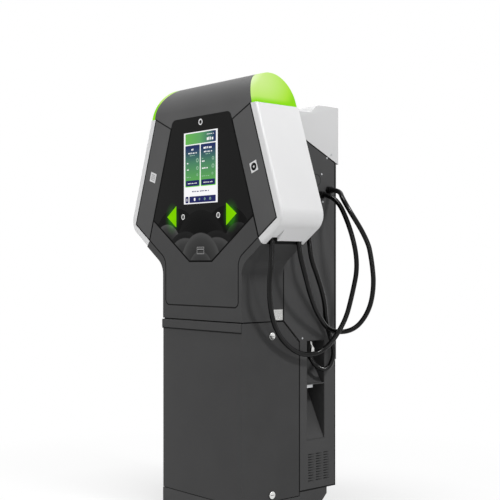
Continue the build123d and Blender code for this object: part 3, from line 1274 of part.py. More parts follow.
with BuildPart() as cable_glands:
    for depth, z in GLANDS:
        with BuildSketch(side_on(HALF)):
            with Locations((y(depth), z)):
                RegularPolygon(GLAND_RADIUS, 6)
                Circle(CABLE_RADIUS, mode=Mode.SUBTRACT)
        extrude(amount=GLAND_LENGTH / 2)
        with BuildSketch(side_on(HALF + GLAND_LENGTH / 2)):
            with Locations((y(depth), z)):
                Circle(GLAND_RADIUS - SKIN)
                Circle(CABLE_RADIUS, mode=Mode.SUBTRACT)
        extrude(amount=GLAND_LENGTH / 2)
    # plugs that close the cable holes of the other side
    for depth, z in GLANDS:
        with BuildSketch(side_on(-HALF)):
            with Locations((y(depth), z)):
                Circle(GLAND_RADIUS)
        extrude(amount=-SKIN)
        with BuildSketch(side_on(-HALF)):
            with Locations((y(depth), z)):
                Circle(CABLE_RADIUS)
        extrude(amount=SKIN)

with BuildPart() as data_plate:
    with BuildSketch(side_on(HALF)):
        with Locations((
            y(HEAD_DEPTH - PLATE_LENGTH / 2 - SEAM), HOUSING_BOTTOM + PLATE_HEIGHT / 2 + SEAM
        )):
            Rectangle(PLATE_LENGTH, PLATE_HEIGHT)
    extrude(amount=DATA_PLATE)

with BuildPart() as panel_screws:
    for side in (-1, 1):
        with BuildSketch(side_on(side * HALF)):
            for depth, z in SCREWS:
                with Locations((y(depth), z)):
                    Circle(SCREW_RADIUS)
        extrude(amount=side * SCREW_HEAD)

# ------------------------------------------------------------------ export
PIECES = {
    "base_plinth": base_plinth,
    "inner_frame": inner_frame,
    "mounting_plate": mounting_plate,
    "lower_cover": lower_cover,
    "cover_lip": cover_lip,
    "left_low_lock": left_low_lock,
    "left_high_lock": left_high_lock,
    "right_low_lock": right_low_lock,
    "right_high_lock": right_high_lock,
    "front_housing": front_housing,
    "carrier_plate": carrier_plate,
    "front_hatch": front_hatch,
    "left_front_panel": left_front_panel,
    "right_front_panel": right_front_panel,
    "display_glass": display_glass,
    "display_module": display_module,
    "arrow_lights": arrow_lights,
    "button_bezels": button_bezels,
    "left_button": left_button,
    "right_button": right_button,
    "card_reader": card_reader,
    "connector_tags": connector_tags,
    "left_wing": left_wing,
    "right_wing": right_wing,
    "top_cover": top_cover,
    "left_light": left_light,
    "right_light": right_light,
    "led_boards": led_boards,
    "left_side_plate": left_side_plate,
    "right_side_plate": right_side_plate,
    "left_niche": left_niche,
    "right_niche": right_niche,
    "holder_plates": holder_plates,
    "rear_lower_panel": rear_lower_panel,
    "rear_cap": rear_cap,
    "rear_door": rear_door,
    "door_gasket": door_gasket,
    "door_hinges": door_hinges,
    "handle_base": handle_base,
    "door_handle": door_handle,
    "fan_housings": fan_housings,
    "left_fan_rotor": left_fan_rotor,
    "right_fan_rotor": right_fan_rotor,
    "power_modules": power_modules,
    "din_rails": din_rails,
    "rail_devices": rail_devices,
    "controller_unit": controller_unit,
    "left_holster": left_holster,
    "right_holster": right_holster,
    "front_plug": front_plug,
    "rear_plug": rear_plug,
    "pocket_plug": pocket_plug,
    "release_lever": release_lever,
    "front_cable": front_cable,
    "rear_cable": rear_cable,
    "pocket_cable": pocket_cable,
    "cable_glands": cable_glands,
    "data_plate": data_plate,
    "panel_screws": panel_screws,
}
os.makedirs("parts", exist_ok=True)
for label, piece in PIECES.items():
    piece.part.label = label
    export_step(piece.part, f"parts/{label}.step")
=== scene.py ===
# %% [markdown]
# # A charging post for electric cars
# The post is a folded steel cabinet with a wide head. The head has a printed glass front with a
# screen, a white wing on each side with a rounded lower bend, and a lit lens on each top corner.
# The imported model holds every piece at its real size. It is loaded first and stays as it is:
# the cells below give it finishes, rounded edges and the pieces that sheet metal can't show.

# %% Load the frame
import json
import math

import bmesh
import bpy
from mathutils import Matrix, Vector

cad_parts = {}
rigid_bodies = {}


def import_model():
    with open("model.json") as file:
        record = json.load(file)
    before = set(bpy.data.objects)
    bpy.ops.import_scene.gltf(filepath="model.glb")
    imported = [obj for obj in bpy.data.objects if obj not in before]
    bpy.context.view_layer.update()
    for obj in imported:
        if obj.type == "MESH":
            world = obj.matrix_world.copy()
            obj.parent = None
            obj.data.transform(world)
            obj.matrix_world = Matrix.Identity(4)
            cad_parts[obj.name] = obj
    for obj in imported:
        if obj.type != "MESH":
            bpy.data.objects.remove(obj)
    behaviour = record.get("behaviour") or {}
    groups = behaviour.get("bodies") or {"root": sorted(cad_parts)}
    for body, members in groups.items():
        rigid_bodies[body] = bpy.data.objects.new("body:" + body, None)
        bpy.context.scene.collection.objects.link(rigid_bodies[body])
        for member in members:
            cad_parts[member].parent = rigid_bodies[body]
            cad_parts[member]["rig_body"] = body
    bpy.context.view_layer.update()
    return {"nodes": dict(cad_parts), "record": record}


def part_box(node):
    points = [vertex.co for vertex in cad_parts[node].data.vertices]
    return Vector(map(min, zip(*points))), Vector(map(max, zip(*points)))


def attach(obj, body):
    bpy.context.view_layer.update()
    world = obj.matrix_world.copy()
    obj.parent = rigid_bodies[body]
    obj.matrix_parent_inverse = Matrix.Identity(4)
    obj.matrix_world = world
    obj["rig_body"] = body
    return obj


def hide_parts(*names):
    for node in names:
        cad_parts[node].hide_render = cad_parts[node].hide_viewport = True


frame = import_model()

# %% [markdown]
# ## Sizes
# Lengths are metres. The front skin of the post stands at FRONT, and a depth is counted
# rearwards from it, so most places read as (across, depth, height), the way a fitter would
# measure them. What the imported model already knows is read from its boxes, so that it can't
# disagree with the cells below.

# %% Sizes that several cells share
MM = 0.001
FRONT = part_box("lower_cover")[0].y
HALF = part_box("lower_cover")[1].x
HEAD_TOP = 1.855
SEAM_Z = 1.717
WING_TOP_X = 0.356
LEAN = 0.336
HEAD_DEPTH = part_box("front_housing")[1].y - FRONT
SIDES = ((1, "right"), (-1, "left"))


def at(x, depth, z):
    """A point from millimetres across, behind the front face, and above the floor."""
    return Vector((x * MM, FRONT + depth * MM, z * MM))


print("front face at", round(FRONT, 4), "head depth", round(HEAD_DEPTH, 4))

# %% [markdown]
# ## Short words for shader nodes
# Every finish is a small tree of nodes. Written out in full, each node takes five lines, so a
# few helpers make a node, plug it in and hand back its result. All patterns read Object
# coordinates, which stay on the piece when it moves.

# %% Helpers for shader trees
def new_material(name):
    """A material with an empty Principled shader; returns it with its tree and shader."""
    material = bpy.data.materials.new(name)
    material.use_nodes = True
    tree = material.node_tree
    return material, tree, tree.nodes["Principled BSDF"]


def plug(tree, source, socket):
    """Feeds a socket from another node's output, or sets it to a plain value."""
    if isinstance(source, bpy.types.NodeSocket):
        tree.links.new(source, socket)
    else:
        socket.default_value = source


def tune(node, **values):
    """Sets sockets by name, with _ for a space. A colour gets its alpha here."""
    for label, value in values.items():
        socket = node.inputs[label.replace("_", " ")]
        socket.default_value = (*value, 1) if socket.type == "RGBA" else value


def node_result(tree, kind, operation, sources, output):
    """The output of a new node that works on its sources."""
    node = tree.nodes.new(kind)
    node.operation = operation
    for socket, source in zip(node.inputs, sources):
        plug(tree, source, socket)
    return node.outputs[output]


def maths(tree, operation, *sources):
    return node_result(tree, "ShaderNodeMath", operation, sources, "Value")


def blend(tree, factor, a, b, mode="MIX"):
    """Two colours mixed; each may be a socket or a plain colour."""
    node = tree.nodes.new("ShaderNodeMix")
    node.data_type = "RGBA"
    node.blend_type = mode
    for label, source in (("Factor", factor), ("A", a), ("B", b)):
        plug(tree, source, node.inputs[label])
    return node.outputs["Result"]


print("shader helpers ready")

# %% [markdown]
# Patterns come next. Each reads the piece's own coordinates and hands back a value or a colour,
# so that a finish below can be read as a list of its layers.

# %% Patterns
def grey(value):
    return (value, value, value)


def ramp(tree, source, *stops):
    """A colour ramp from (position, colour) pairs."""
    node = tree.nodes.new("ShaderNodeValToRGB")
    elements = node.color_ramp.elements
    while len(elements) < len(stops):
        elements.new(0.5)
    for element, (position, colour) in zip(elements, stops):
        element.position = position
        element.color = (*colour, 1)
    plug(tree, source, node.inputs["Fac"])
    return node.outputs["Color"]


def own_place(tree):
    """Where the shaded point lies on its piece."""
    return tree.nodes.new("ShaderNodeTexCoord").outputs["Object"]


def own_axis(tree, axis):
    """The same along one axis."""
    split = tree.nodes.new("ShaderNodeSeparateXYZ")
    plug(tree, own_place(tree), split.inputs["Vector"])
    return split.outputs[axis]


def noise(tree, scale, detail=3.0):
    """A cloudy pattern."""
    texture = tree.nodes.new("ShaderNodeTexNoise")
    tune(texture, Scale=scale, Detail=detail, Roughness=0.55)
    plug(tree, own_place(tree), texture.inputs["Vector"])
    return texture.outputs["Fac"]


def distance_from(tree, centre, weights):
    """Distance of the shaded point from a centre, with each axis weighted."""
    kind = "ShaderNodeVectorMath"
    offset = node_result(tree, kind, "SUBTRACT", (own_place(tree), centre), "Vector")
    weighted = node_result(tree, kind, "MULTIPLY", (offset, weights), "Vector")
    return node_result(tree, kind, "LENGTH", (weighted,), "Value")


print("patterns ready")

# %% [markdown]
# ## Powder coat
# Nearly all of the post is powder-coated steel. The coat is a satin skin with a very fine
# orange-peel texture. A scanned image could give it, but noises stay sharp at any distance and
# need no file: a plain colour, a little slow variation in gloss, and a fine grain in the bump.
# Ambient occlusion darkens the colour in the joints between sheets: painted shade. One function
# makes each coat, and only the numbers differ.

# %% Coats
CLOUD_SCALE = 6.0
GRAIN_HEIGHT = 0.2 * MM
GROOVE_SHADE_REACH = 7 * MM


def painted_groove_shade(tree, colour):
    """Paints shade into a colour where neighbouring sheets close in on it."""
    near = tree.nodes.new("ShaderNodeAmbientOcclusion")
    near.samples = 6
    tune(near, Distance=GROOVE_SHADE_REACH)
    depth = ramp(tree, near.outputs["AO"], (0.40, grey(0.06)), (0.80, grey(1.0)))
    return blend(tree, 1.0, colour, depth, "MULTIPLY")


def coat(
    name, colour, roughness, spread=0.05, grain=0.25, grain_scale=900.0, shine=0.25, shade_grooves=True
):
    """Powder coat: a colour, a slow change in gloss, a fine grain, and painted shade in grooves."""
    material, tree, shader = new_material(name)
    slow = noise(tree, CLOUD_SCALE)
    tint = ramp(
        tree, slow, (0.35, [c * (1 - spread) for c in colour]),
        (0.65, [c * (1 + spread) for c in colour]),
    )
    # Painted shade: ambient occlusion darkens the colour in the grooves.
    plug(tree, painted_groove_shade(tree, tint) if shade_grooves else tint, shader.inputs["Base Color"])
    gloss = ramp(tree, slow, (0.3, grey(roughness - 0.04)), (0.7, grey(roughness + 0.04)))
    plug(tree, gloss, shader.inputs["Roughness"])
    bump = tree.nodes.new("ShaderNodeBump")
    tune(bump, Strength=grain, Distance=GRAIN_HEIGHT)
    plug(tree, noise(tree, grain_scale, 2.0), bump.inputs["Height"])
    plug(tree, bump.outputs["Normal"], shader.inputs["Normal"])
    tune(shader, Specular_IOR_Level=shine)
    return material


charcoal = coat("charcoal_coat", (0.039, 0.039, 0.0394), 0.5, shine=0.12)
graphite = coat("graphite_coat", (0.058, 0.058, 0.0585), 0.45, shine=0.15)
cover_coat = coat("cover_coat", (0.054, 0.054, 0.0545), 0.42, shine=0.2)
side_coat = coat("side_coat", (0.047, 0.047, 0.0475), 0.5, shine=0.15)
plinth_coat = coat("plinth_coat", (0.048, 0.048, 0.0485), 0.55, shine=0.12)
white_coat = coat("white_coat", (0.55, 0.55, 0.554), 0.35, spread=0.01, grain=0.08)
cap_coat = coat("cap_coat", (0.49, 0.49, 0.494), 0.4, spread=0.01, grain=0.08)
# A near-black coat that paints shade: the carrier plate at the back of the pocket, the bars in the
# key slots and the knock-out rings, places that are dark from shade.
shade_black = coat("painted_shade_black", grey(0.006), 0.6, shine=0.1)
black_plastic = coat("black_plastic", grey(0.005), 0.5, grain=0.4, grain_scale=600.0, shine=0.15)
grey_plastic = coat("grey_plastic", (0.22, 0.22, 0.23), 0.5, grain=0.3, grain_scale=600.0)
# Black rubber for the door gasket, the vent filters and the cover's joints; the same black also
# paints shade in the gap strips and under the lip.
seal_rubber = coat("seal_rubber", grey(0.006), 0.8, grain=0.5, grain_scale=400.0, shine=0.1)
print("coats made")

# %% [markdown]
# ## Bare and plated metal
# The frame inside is galvanised, with the cloudy spangle of zinc crystals. Noise has no
# straight borders, so a Voronoi texture gives the crystals, each with its own tone and gloss.
# The small bright fittings are plated, with fine scratches in their gloss.

# %% Metals
SPANGLE_SCALE = 90.0
SCRATCH_SCALE = 500.0


def zinc(name, colour, roughness):
    """Galvanised steel: flat crystals, each with its own tone and gloss."""
    material, tree, shader = new_material(name)
    crystals = tree.nodes.new("ShaderNodeTexVoronoi")
    tune(crystals, Scale=SPANGLE_SCALE)
    plug(tree, own_place(tree), crystals.inputs["Vector"])
    cell = crystals.outputs["Color"]
    tint = ramp(tree, cell, (0.2, [c * 0.85 for c in colour]), (0.8, [c * 1.1 for c in colour]))
    plug(tree, tint, shader.inputs["Base Color"])
    gloss = ramp(tree, cell, (0.2, grey(roughness - 0.1)), (0.8, grey(roughness + 0.1)))
    plug(tree, gloss, shader.inputs["Roughness"])
    tune(shader, Metallic=1.0)
    return material


def plated(name, colour, roughness):
    """Bright plated steel with fine scratches in its gloss."""
    material, tree, shader = new_material(name)
    scratches = noise(tree, SCRATCH_SCALE, 4.0)
    gloss = ramp(tree, scratches, (0.3, grey(roughness - 0.06)), (0.7, grey(roughness + 0.08)))
    plug(tree, gloss, shader.inputs["Roughness"])
    tune(shader, Base_Color=colour, Metallic=1.0)
    return material


galvanised = zinc("galvanised_steel", (0.50, 0.51, 0.52), 0.42)
bright_metal = plated("bright_metal", (0.75, 0.75, 0.74), 0.22)
button_face = plated("button_face", (0.10, 0.10, 0.10), 0.35)
print("metals made")

# %% [markdown]
# ## Lit plastics
# The lenses and the arrows are lime plastic with lamps behind them: palest in front of the
# lamps, deeper green towards the rim. Real lamps inside a frosted shell would be noisy and slow,
# so the plastic itself glows, by its distance from the place of the lamp.

# %% Lime plastics
LENS_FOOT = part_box("right_light")[0].z
LENS_LAMP_X, LENS_LAMP_DEPTH, LENS_LAMP_Z = 0.270, 0.030, 1.815
DEEP_LIME = (0.24, 0.69, 0.005, 1)
ARROW_CLOUDS = 12.0


def lens_material(name, side, fade):
    """Lime lens: a glow from a pale middle to a deep rim at its foot."""
    material, tree, shader = new_material(name)
    lamp_place = (side * LENS_LAMP_X, FRONT + LENS_LAMP_DEPTH, LENS_LAMP_Z)
    glow = ramp(
        tree, distance_from(tree, lamp_place, (fade, 0.8 * fade, fade)),
        (0.02, (0.76, 0.90, 0.52)), (0.06, (0.60, 0.83, 0.27)), (0.115, (0.48, 0.79, 0.14)),
        (0.150, (0.40, 0.75, 0.05)), (0.175, (0.24, 0.66, 0.01)),
    )
    above_foot = maths(tree, "SUBTRACT", own_axis(tree, "Z"), LENS_FOOT)
    rim = ramp(tree, above_foot, (0.004, grey(1.0)), (0.024, grey(0.0)))
    plug(tree, blend(tree, rim, glow, DEEP_LIME), shader.inputs["Emission Color"])
    tune(
        shader, Emission_Strength=1.0, Base_Color=(0.01, 0.02, 0.0), Roughness=0.5,
        Specular_IOR_Level=0.03,
    )
    return material


def arrow_material():
    """Lime light panel, a little uneven."""
    material, tree, shader = new_material("lime_arrow")
    glow = ramp(tree, noise(tree, ARROW_CLOUDS), (0.3, (0.17, 0.54, 0.0)), (0.7, (0.20, 0.60, 0.0)))
    plug(tree, glow, shader.inputs["Emission Color"])
    tune(
        shader, Emission_Strength=1.0, Base_Color=(0.02, 0.05, 0.001), Roughness=0.4,
        Specular_IOR_Level=0.0,
    )
    return material


lens_lime = {
    1: lens_material("lime_lens_right", 1, 1.0),
    -1: lens_material("lime_lens_left", -1, 3.0),
}
lime_arrow = arrow_material()
print("lit plastics made")

# %% [markdown]
# ## Printed glass
# The front is black glass with a faint print of overlapping round scales at its foot, and the
# arrows' light spills a little way into it. The print lies behind the glass and has no
# thickness, so it belongs in the material: each scale is a disc that hides the ones before it
# and is lightest near its edge.

# %% The glass of the front
GLASS_BLACK = (0.009, 0.009, 0.009, 1)
ARROW_X, ARROW_Z = 0.198, 1.272
SCALES = (  # across, height, radius, tone of the middle, tone of the edge
    (-0.17, 1.15, 0.165, 0.0010, 0.0030), (0.17, 1.15, 0.165, 0.0010, 0.0030),
    (0.0, 1.13, 0.172, 0.0008, 0.0050), (-0.235, 1.150, 0.098, 0.010, 0.060),
    (0.245, 1.160, 0.085, 0.003, 0.016), (-0.105, 1.075, 0.140, 0.002, 0.010),
    (0.105, 1.075, 0.140, 0.002, 0.010), (-0.105, 1.045, 0.142, 0.016, 0.052),
    (0.105, 1.045, 0.142, 0.016, 0.052), (0.0, 1.075, 0.132, 0.020, 0.056),
    (0.0, 1.050, 0.080, 0.026, 0.048),
)


def glass_material():
    """Black glass with its printed scales and the spill of the arrows."""
    material, tree, shader = new_material("printed_glass")
    shade = GLASS_BLACK
    for x, z, radius, middle, edge in SCALES:
        reach = distance_from(tree, (x, 0, z), (1 / radius, 0, 1 / radius))
        band = ramp(
            tree, reach, (0.35, grey(middle)), (0.80, grey((middle + edge) / 2)),
            (0.97, grey(edge)), (1.0, grey(edge * 0.7)),
        )
        shade = blend(tree, maths(tree, "LESS_THAN", reach, 1.0), shade, band)
    plug(tree, shade, shader.inputs["Base Color"])
    left_spill, right_spill = (
        ramp(
            tree, distance_from(tree, (side * ARROW_X, 0, ARROW_Z), (0.85, 0, 0.62)),
            (0.020, (0.012, 0.12, 0.0)), (0.028, (0.004, 0.035, 0.0)), (0.044, grey(0.0)),
        ) for side in (-1, 1)
    )
    spill = blend(tree, 1.0, left_spill, right_spill, "ADD")
    plug(tree, spill, shader.inputs["Emission Color"])
    tune(shader, Emission_Strength=1.0, Roughness=0.18, Specular_IOR_Level=0.04)
    return material


printed_glass = glass_material()
print("glass made, with", len(SCALES), "printed scales")

# %% [markdown]
# ## Data plate
# A pale plate with small print. The print says nothing here: a wave gives the rows and a noise
# breaks them into specks, so there are no words to read and no image to load.

# %% The data plate's print
ROW_SCALE, SPECK_SCALE = 75.0, 150.0


def label_material():
    """A pale data plate with rows of small dark specks in place of words."""
    material, tree, shader = new_material("data_label")
    rows = tree.nodes.new("ShaderNodeTexWave")
    rows.bands_direction = "Z"
    tune(rows, Scale=ROW_SCALE)
    plug(tree, own_place(tree), rows.inputs["Vector"])
    specks = maths(tree, "MULTIPLY", rows.outputs["Fac"], noise(tree, SPECK_SCALE))
    ink = ramp(tree, specks, (0.27, (0.66, 0.66, 0.64)), (0.40, grey(0.12)))
    plug(tree, ink, shader.inputs["Base Color"])
    tune(shader, Roughness=0.45)
    return material


label = label_material()
print("data plate's print made")

# %% [markdown]
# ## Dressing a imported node
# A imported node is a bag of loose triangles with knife-sharp edges, and real folded steel never
# has those. Moving its points isn't allowed, so a copy is taken: doubled points are merged, flat
# triangles are joined back into faces, and a Bevel modifier rounds every edge by a fraction of
# a millimetre. The copy then stands for the node. What is small or lies inside keeps its own
# mesh and only gets its finish.

# %% Helpers for pieces
SLOT_OF = {entry["node"]: entry["material_slot"] for entry in frame["record"]["subparts"]}


def body_of(node):
    return frame["nodes"][node]["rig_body"]


def in_scene(name, data):
    """An object that holds the data, linked to the scene."""
    holder = bpy.data.objects.new(name, data)
    bpy.context.scene.collection.objects.link(holder)
    return holder


def mesh_of(shape, name):
    """Keeps a bmesh as a mesh."""
    mesh = bpy.data.meshes.new(name)
    shape.to_mesh(mesh)
    shape.free()
    return mesh


def to_object(mesh, name, material, body, angle=30.0):
    """Links a mesh as a piece with one material that rides on a body."""
    piece = in_scene(name, mesh)
    mesh.materials.clear()
    mesh.materials.append(material)
    mesh.shade_smooth()
    mesh.set_sharp_from_angle(angle=math.radians(angle))
    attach(piece, body)
    return piece


print("material slots:", len(set(SLOT_OF.values())))

# %% [markdown]
# The bevel needs whole faces: on loose triangles every edge would count as sharp. Only folds
# steeper than FOLD_ANGLE are rounded, so curved sheet stays as smooth as it is.

# %% Dressing and painting
MERGE_WITHIN = 2e-6
FLAT_ANGLE, FOLD_ANGLE = 0.4, 35


def merged_copy(node):
    """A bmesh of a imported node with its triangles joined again."""
    source = bmesh.new()
    source.from_mesh(frame["nodes"][node].data)
    bmesh.ops.remove_doubles(source, verts=source.verts, dist=MERGE_WITHIN)
    bmesh.ops.dissolve_limit(
        source, angle_limit=math.radians(FLAT_ANGLE), verts=source.verts, edges=source.edges
    )
    return source


def dress(node, material, edge):
    """A copy of a node with rounded edges, in its place."""
    name = node + "_dressed"
    mesh = mesh_of(merged_copy(node), name)
    piece = to_object(mesh, name, material, body_of(node))
    bevel = piece.modifiers.new("rounded edges", "BEVEL")
    bevel.width = edge * MM
    bevel.segments = 2
    bevel.limit_method = "ANGLE"
    bevel.angle_limit = math.radians(FOLD_ANGLE)
    bevel.harden_normals = True
    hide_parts(node)


def paint(node, material):
    """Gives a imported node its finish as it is."""
    data = frame["nodes"][node].data
    data.materials.clear()
    data.materials.append(material)


SHEETS = (  # node, finish, edge radius in millimetres
    ("lower_cover", charcoal, 1.2), ("cover_lip", charcoal, 2.2),
    ("base_plinth", plinth_coat, 1.0),
    ("front_housing", charcoal, 1.3), ("front_hatch", charcoal, 1.2),
    ("left_front_panel", graphite, 0.8), ("right_front_panel", graphite, 0.8),
    ("left_side_plate", side_coat, 0.6), ("right_side_plate", side_coat, 0.6),
    ("left_niche", side_coat, 0.6), ("right_niche", side_coat, 0.6),
    ("rear_lower_panel", side_coat, 0.5), ("rear_cap", cap_coat, 1.5),
    ("rear_door", side_coat, 0.8), ("left_wing", white_coat, 1.0), ("right_wing", white_coat, 1.0),
)
PAINTED = (
    (galvanised, "inner_frame mounting_plate holder_plates din_rails"),
    (bright_metal, "left_low_lock left_high_lock right_low_lock right_high_lock"),
    (bright_metal, "button_bezels release_lever"),
    (black_plastic, "card_reader door_hinges handle_base door_handle fan_housings"),
    (black_plastic, "left_fan_rotor right_fan_rotor left_holster right_holster"),
    (black_plastic, "front_plug rear_plug pocket_plug cable_glands"),
    (grey_plastic, "led_boards power_modules rail_devices controller_unit"),
    (button_face, "left_button right_button"),
    # The carrier plate is painted shade: black where the pocket's hollow is dark.
    (shade_black, "carrier_plate"), (printed_glass, "display_glass"), (label, "data_plate"),
    (lime_arrow, "arrow_lights"), (white_coat, "connector_tags"), (seal_rubber, "door_gasket"),
)
for node, material, edge in SHEETS:
    dress(node, material, edge)
for material, nodes in PAINTED:
    for node in nodes.split():
        paint(node, material)
print("dressed:", len(SHEETS), "painted:", sum(len(nodes.split()) for _, nodes in PAINTED))

# %% [markdown]
# ## Growing pieces with nodes
# The head's rounded cover follows a rule, and screws, louvres, knock-outs and grip ribs repeat,
# so Geometry Nodes grow them. Each tree takes its sizes as named inputs and ends in Realize
# Instances and Set Material. The result is turned into a plain mesh that rides like any other
# piece.

# %% Helpers for growing
GEOMETRY, FLOAT, INT, VECTOR = (
    "NodeSocketGeometry", "NodeSocketFloat", "NodeSocketInt", "NodeSocketVector",
)


def settled(holder, name):
    """The mesh that an object's modifiers make of it; the object itself goes."""
    bpy.context.view_layer.update()
    mesh = bpy.data.meshes.new_from_object(
        holder.evaluated_get(bpy.context.evaluated_depsgraph_get())
    )
    mesh.name = name
    bpy.data.objects.remove(holder)
    return mesh


class Growth:
    """A Geometry Nodes tree under construction."""

    def __init__(self, name, **sizes):
        self.tree = bpy.data.node_groups.new(name, "GeometryNodeTree")
        face = self.tree.interface
        face.new_socket("Geometry", in_out="INPUT", socket_type=GEOMETRY)
        face.new_socket("Geometry", in_out="OUTPUT", socket_type=GEOMETRY)
        for label, value in sizes.items():
            kind = VECTOR if isinstance(value, tuple) else INT if isinstance(value, int) else FLOAT
            face.new_socket(label, in_out="INPUT", socket_type=kind).default_value = value
        self.inputs = self.tree.nodes.new("NodeGroupInput").outputs

    def add(self, kind, operation=None, **wires):
        """Adds a node; each keyword is a socket's name or number, with its source or value."""
        made = self.tree.nodes.new(kind)
        if operation:
            made.operation = operation
        for label, source in wires.items():
            numbered = label.startswith("i") and label[1:].isdigit()
            socket = made.inputs[int(label[1:]) if numbered else label.replace("_", " ")]
            plug(self.tree, source, socket)
        return made.outputs

    def maths(self, operation, a, b=0.0):
        return self.add("ShaderNodeMath", operation, i0=a, i1=b)["Value"]

    def vector(self, **axes):
        return self.add("ShaderNodeCombineXYZ", **axes)["Vector"]

    def repeat(self, shape, points, rotation):
        """The shape once on each point."""
        return self.add(
            "GeometryNodeInstanceOnPoints", Points=points, Instance=shape, Rotation=rotation,
        )["Instances"]

    def end(self, geometry, material):
        """Closes the tree: instances become real faces with one material."""
        real = self.add("GeometryNodeRealizeInstances", Geometry=geometry)["Geometry"]
        dressed = self.add("GeometryNodeSetMaterial", Geometry=real, Material=material)["Geometry"]
        out = self.tree.nodes.new("NodeGroupOutput")
        self.tree.links.new(dressed, out.inputs["Geometry"])

    def plain_mesh(self, name, places, **sizes):
        """Runs the tree on a cloud of places and keeps the result as a plain mesh."""
        cloud = bpy.data.meshes.new(name + "_places")
        cloud.from_pydata(places, [], [])
        seedling = in_scene(name + "_seedling", cloud)
        grower = seedling.modifiers.new("growth", "NODES")
        grower.node_group = self.tree
        for socket in self.tree.interface.items_tree:
            if socket.in_out == "INPUT" and socket.name in sizes:
                grower[socket.identifier] = sizes[socket.name]
        mesh = settled(seedling, name)
        print(name, len(mesh.polygons), "faces")
        return mesh

    def grow(self, name, places, slot, material, **sizes):
        """The same, linked as a piece that rides on the cabinet."""
        return to_object(self.plain_mesh(name, places, **sizes), name, material, "cabinet")


print("growing helpers ready")

# %% [markdown]
# ## The head's rounded top
# The top of the head is one full-round form. Level slices through it are rounded rectangles that
# shrink towards the crest: their half width follows the leaning sides and then a tight corner,
# and their half depth follows a quarter curve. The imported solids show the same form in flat
# facets. A formula gives it smoothly, and both the cover and the lenses follow it, so they meet
# along one arc.

# %% The rule for the head's top
ARCH_RISE = 0.1169
CORNER_START = 1.8015
CORNER_X = 0.287
CORNER_POWER = 4.14
ARCH_POWER = 1.95
DOME_HALF = HEAD_DEPTH / 2
CREST_SHIFT = 0.0074
FOOT_POWER, CREST_POWER = 36.0, 12.9
ARC_X, ARC_Z, ARC_RADIUS = 0.104, 1.681, 0.225
HEAD_LEVELS = 28
SPRING_Z = HEAD_TOP - ARCH_RISE
ARCH_SHARP = 40


def quarter_curve(share, power):
    """A quarter of a rounded square: 1 at share 0, falling to 0 at share 1."""
    return (1 - min(share, 1) ** power) ** (1 / power)


def slice_at(z):
    """Half width, half depth, squareness and rearward shift of the level slice at a height."""
    half_x = WING_TOP_X - (z - SEAM_Z) * LEAN
    upper = (z - CORNER_START) / (HEAD_TOP - CORNER_START)
    if upper > 0:
        half_x = CORNER_X + (half_x - CORNER_X) * quarter_curve(upper, CORNER_POWER)
    lift = min(max((z - SPRING_Z) / (HEAD_TOP - SPRING_Z), 0.0), 1.0)
    half_y = DOME_HALF * quarter_curve(lift, ARCH_POWER)
    share = (z - SEAM_Z) / (HEAD_TOP - SEAM_Z)
    power = FOOT_POWER + (CREST_POWER - FOOT_POWER) * share
    return half_x, half_y, power, CREST_SHIFT * lift


def boundary_x(z):
    """Where the cover meets the lens, on the arc."""
    return ARC_X + math.sqrt(ARC_RADIUS ** 2 - (z - ARC_Z) ** 2)


def head_heights():
    """Levels from the seam to the crest, closer together near the crest."""
    swings = [0.5 * math.pi * k / HEAD_LEVELS for k in range(HEAD_LEVELS)]
    curved = [SPRING_Z + (HEAD_TOP - SPRING_Z) * math.sin(swing) for swing in swings]
    return [SEAM_Z, (SEAM_Z + SPRING_Z) / 2, *curved, HEAD_TOP]


def thickened(mesh, thickness, name):
    """A closed shell inwards from an open surface."""
    surface = bmesh.new()
    surface.from_mesh(mesh)
    bmesh.ops.remove_doubles(surface, verts=surface.verts, dist=1e-6)
    surface.to_mesh(mesh)
    surface.free()
    holder = in_scene(name + "_surface", mesh)
    solid = holder.modifiers.new("sheet", "SOLIDIFY")
    solid.thickness = thickness
    solid.offset = -1.0
    return settled(holder, name)


print("head levels:", len(head_heights()), "seam reaches", round(boundary_x(SEAM_Z), 4))

# %% [markdown]
# The cover between the lenses is grown by a tree from a flat grid. A column keeps its share of
# the cover's width and a row its level, first up the front and then down the rear, and the rule
# moves every point to its place. Then the surface gets the thickness of its sheet.

# %% A tree for the arched cover
COVER_COLUMNS = 96
COVER_SHEET = 3 * MM
arch = Growth(
    "arched_cover", Foot=SEAM_Z, Top=HEAD_TOP, Rise=ARCH_RISE, Half_Depth=DOME_HALF,
    Half_Width=WING_TOP_X, Lean=LEAN, Crest_Shift=CREST_SHIFT, Columns=COVER_COLUMNS + 1,
    Levels=HEAD_LEVELS,
)
size = arch.inputs


print("tree for the cover:", len(size) - 1, "inputs")

# %% [markdown]
# A long formula is hard to read as nodes, so four small words stand for the four kinds of
# arithmetic, and one more for the quarter curve. The rule then reads as slice_at does above.

# %% Arithmetic in the tree
def plus(a, b):
    return arch.maths("ADD", a, b)


def minus(a, b):
    return arch.maths("SUBTRACT", a, b)


def times(a, b):
    return arch.maths("MULTIPLY", a, b)


def over(a, b):
    return arch.maths("DIVIDE", a, b)


def round_off(share, power):
    """The quarter curve again, as a chain of nodes."""
    rest = minus(1.0, arch.maths("POWER", arch.maths("MINIMUM", share, 1.0), power))
    return arch.maths("POWER", arch.maths("MAXIMUM", rest, 0.0), over(1.0, power))


print("arithmetic ready")

# %% [markdown]
# The same rule as in slice_at, told as nodes: first the level and its height, then the slice at
# that height, then where a column lies across it and how far the front or the rear bulges out.

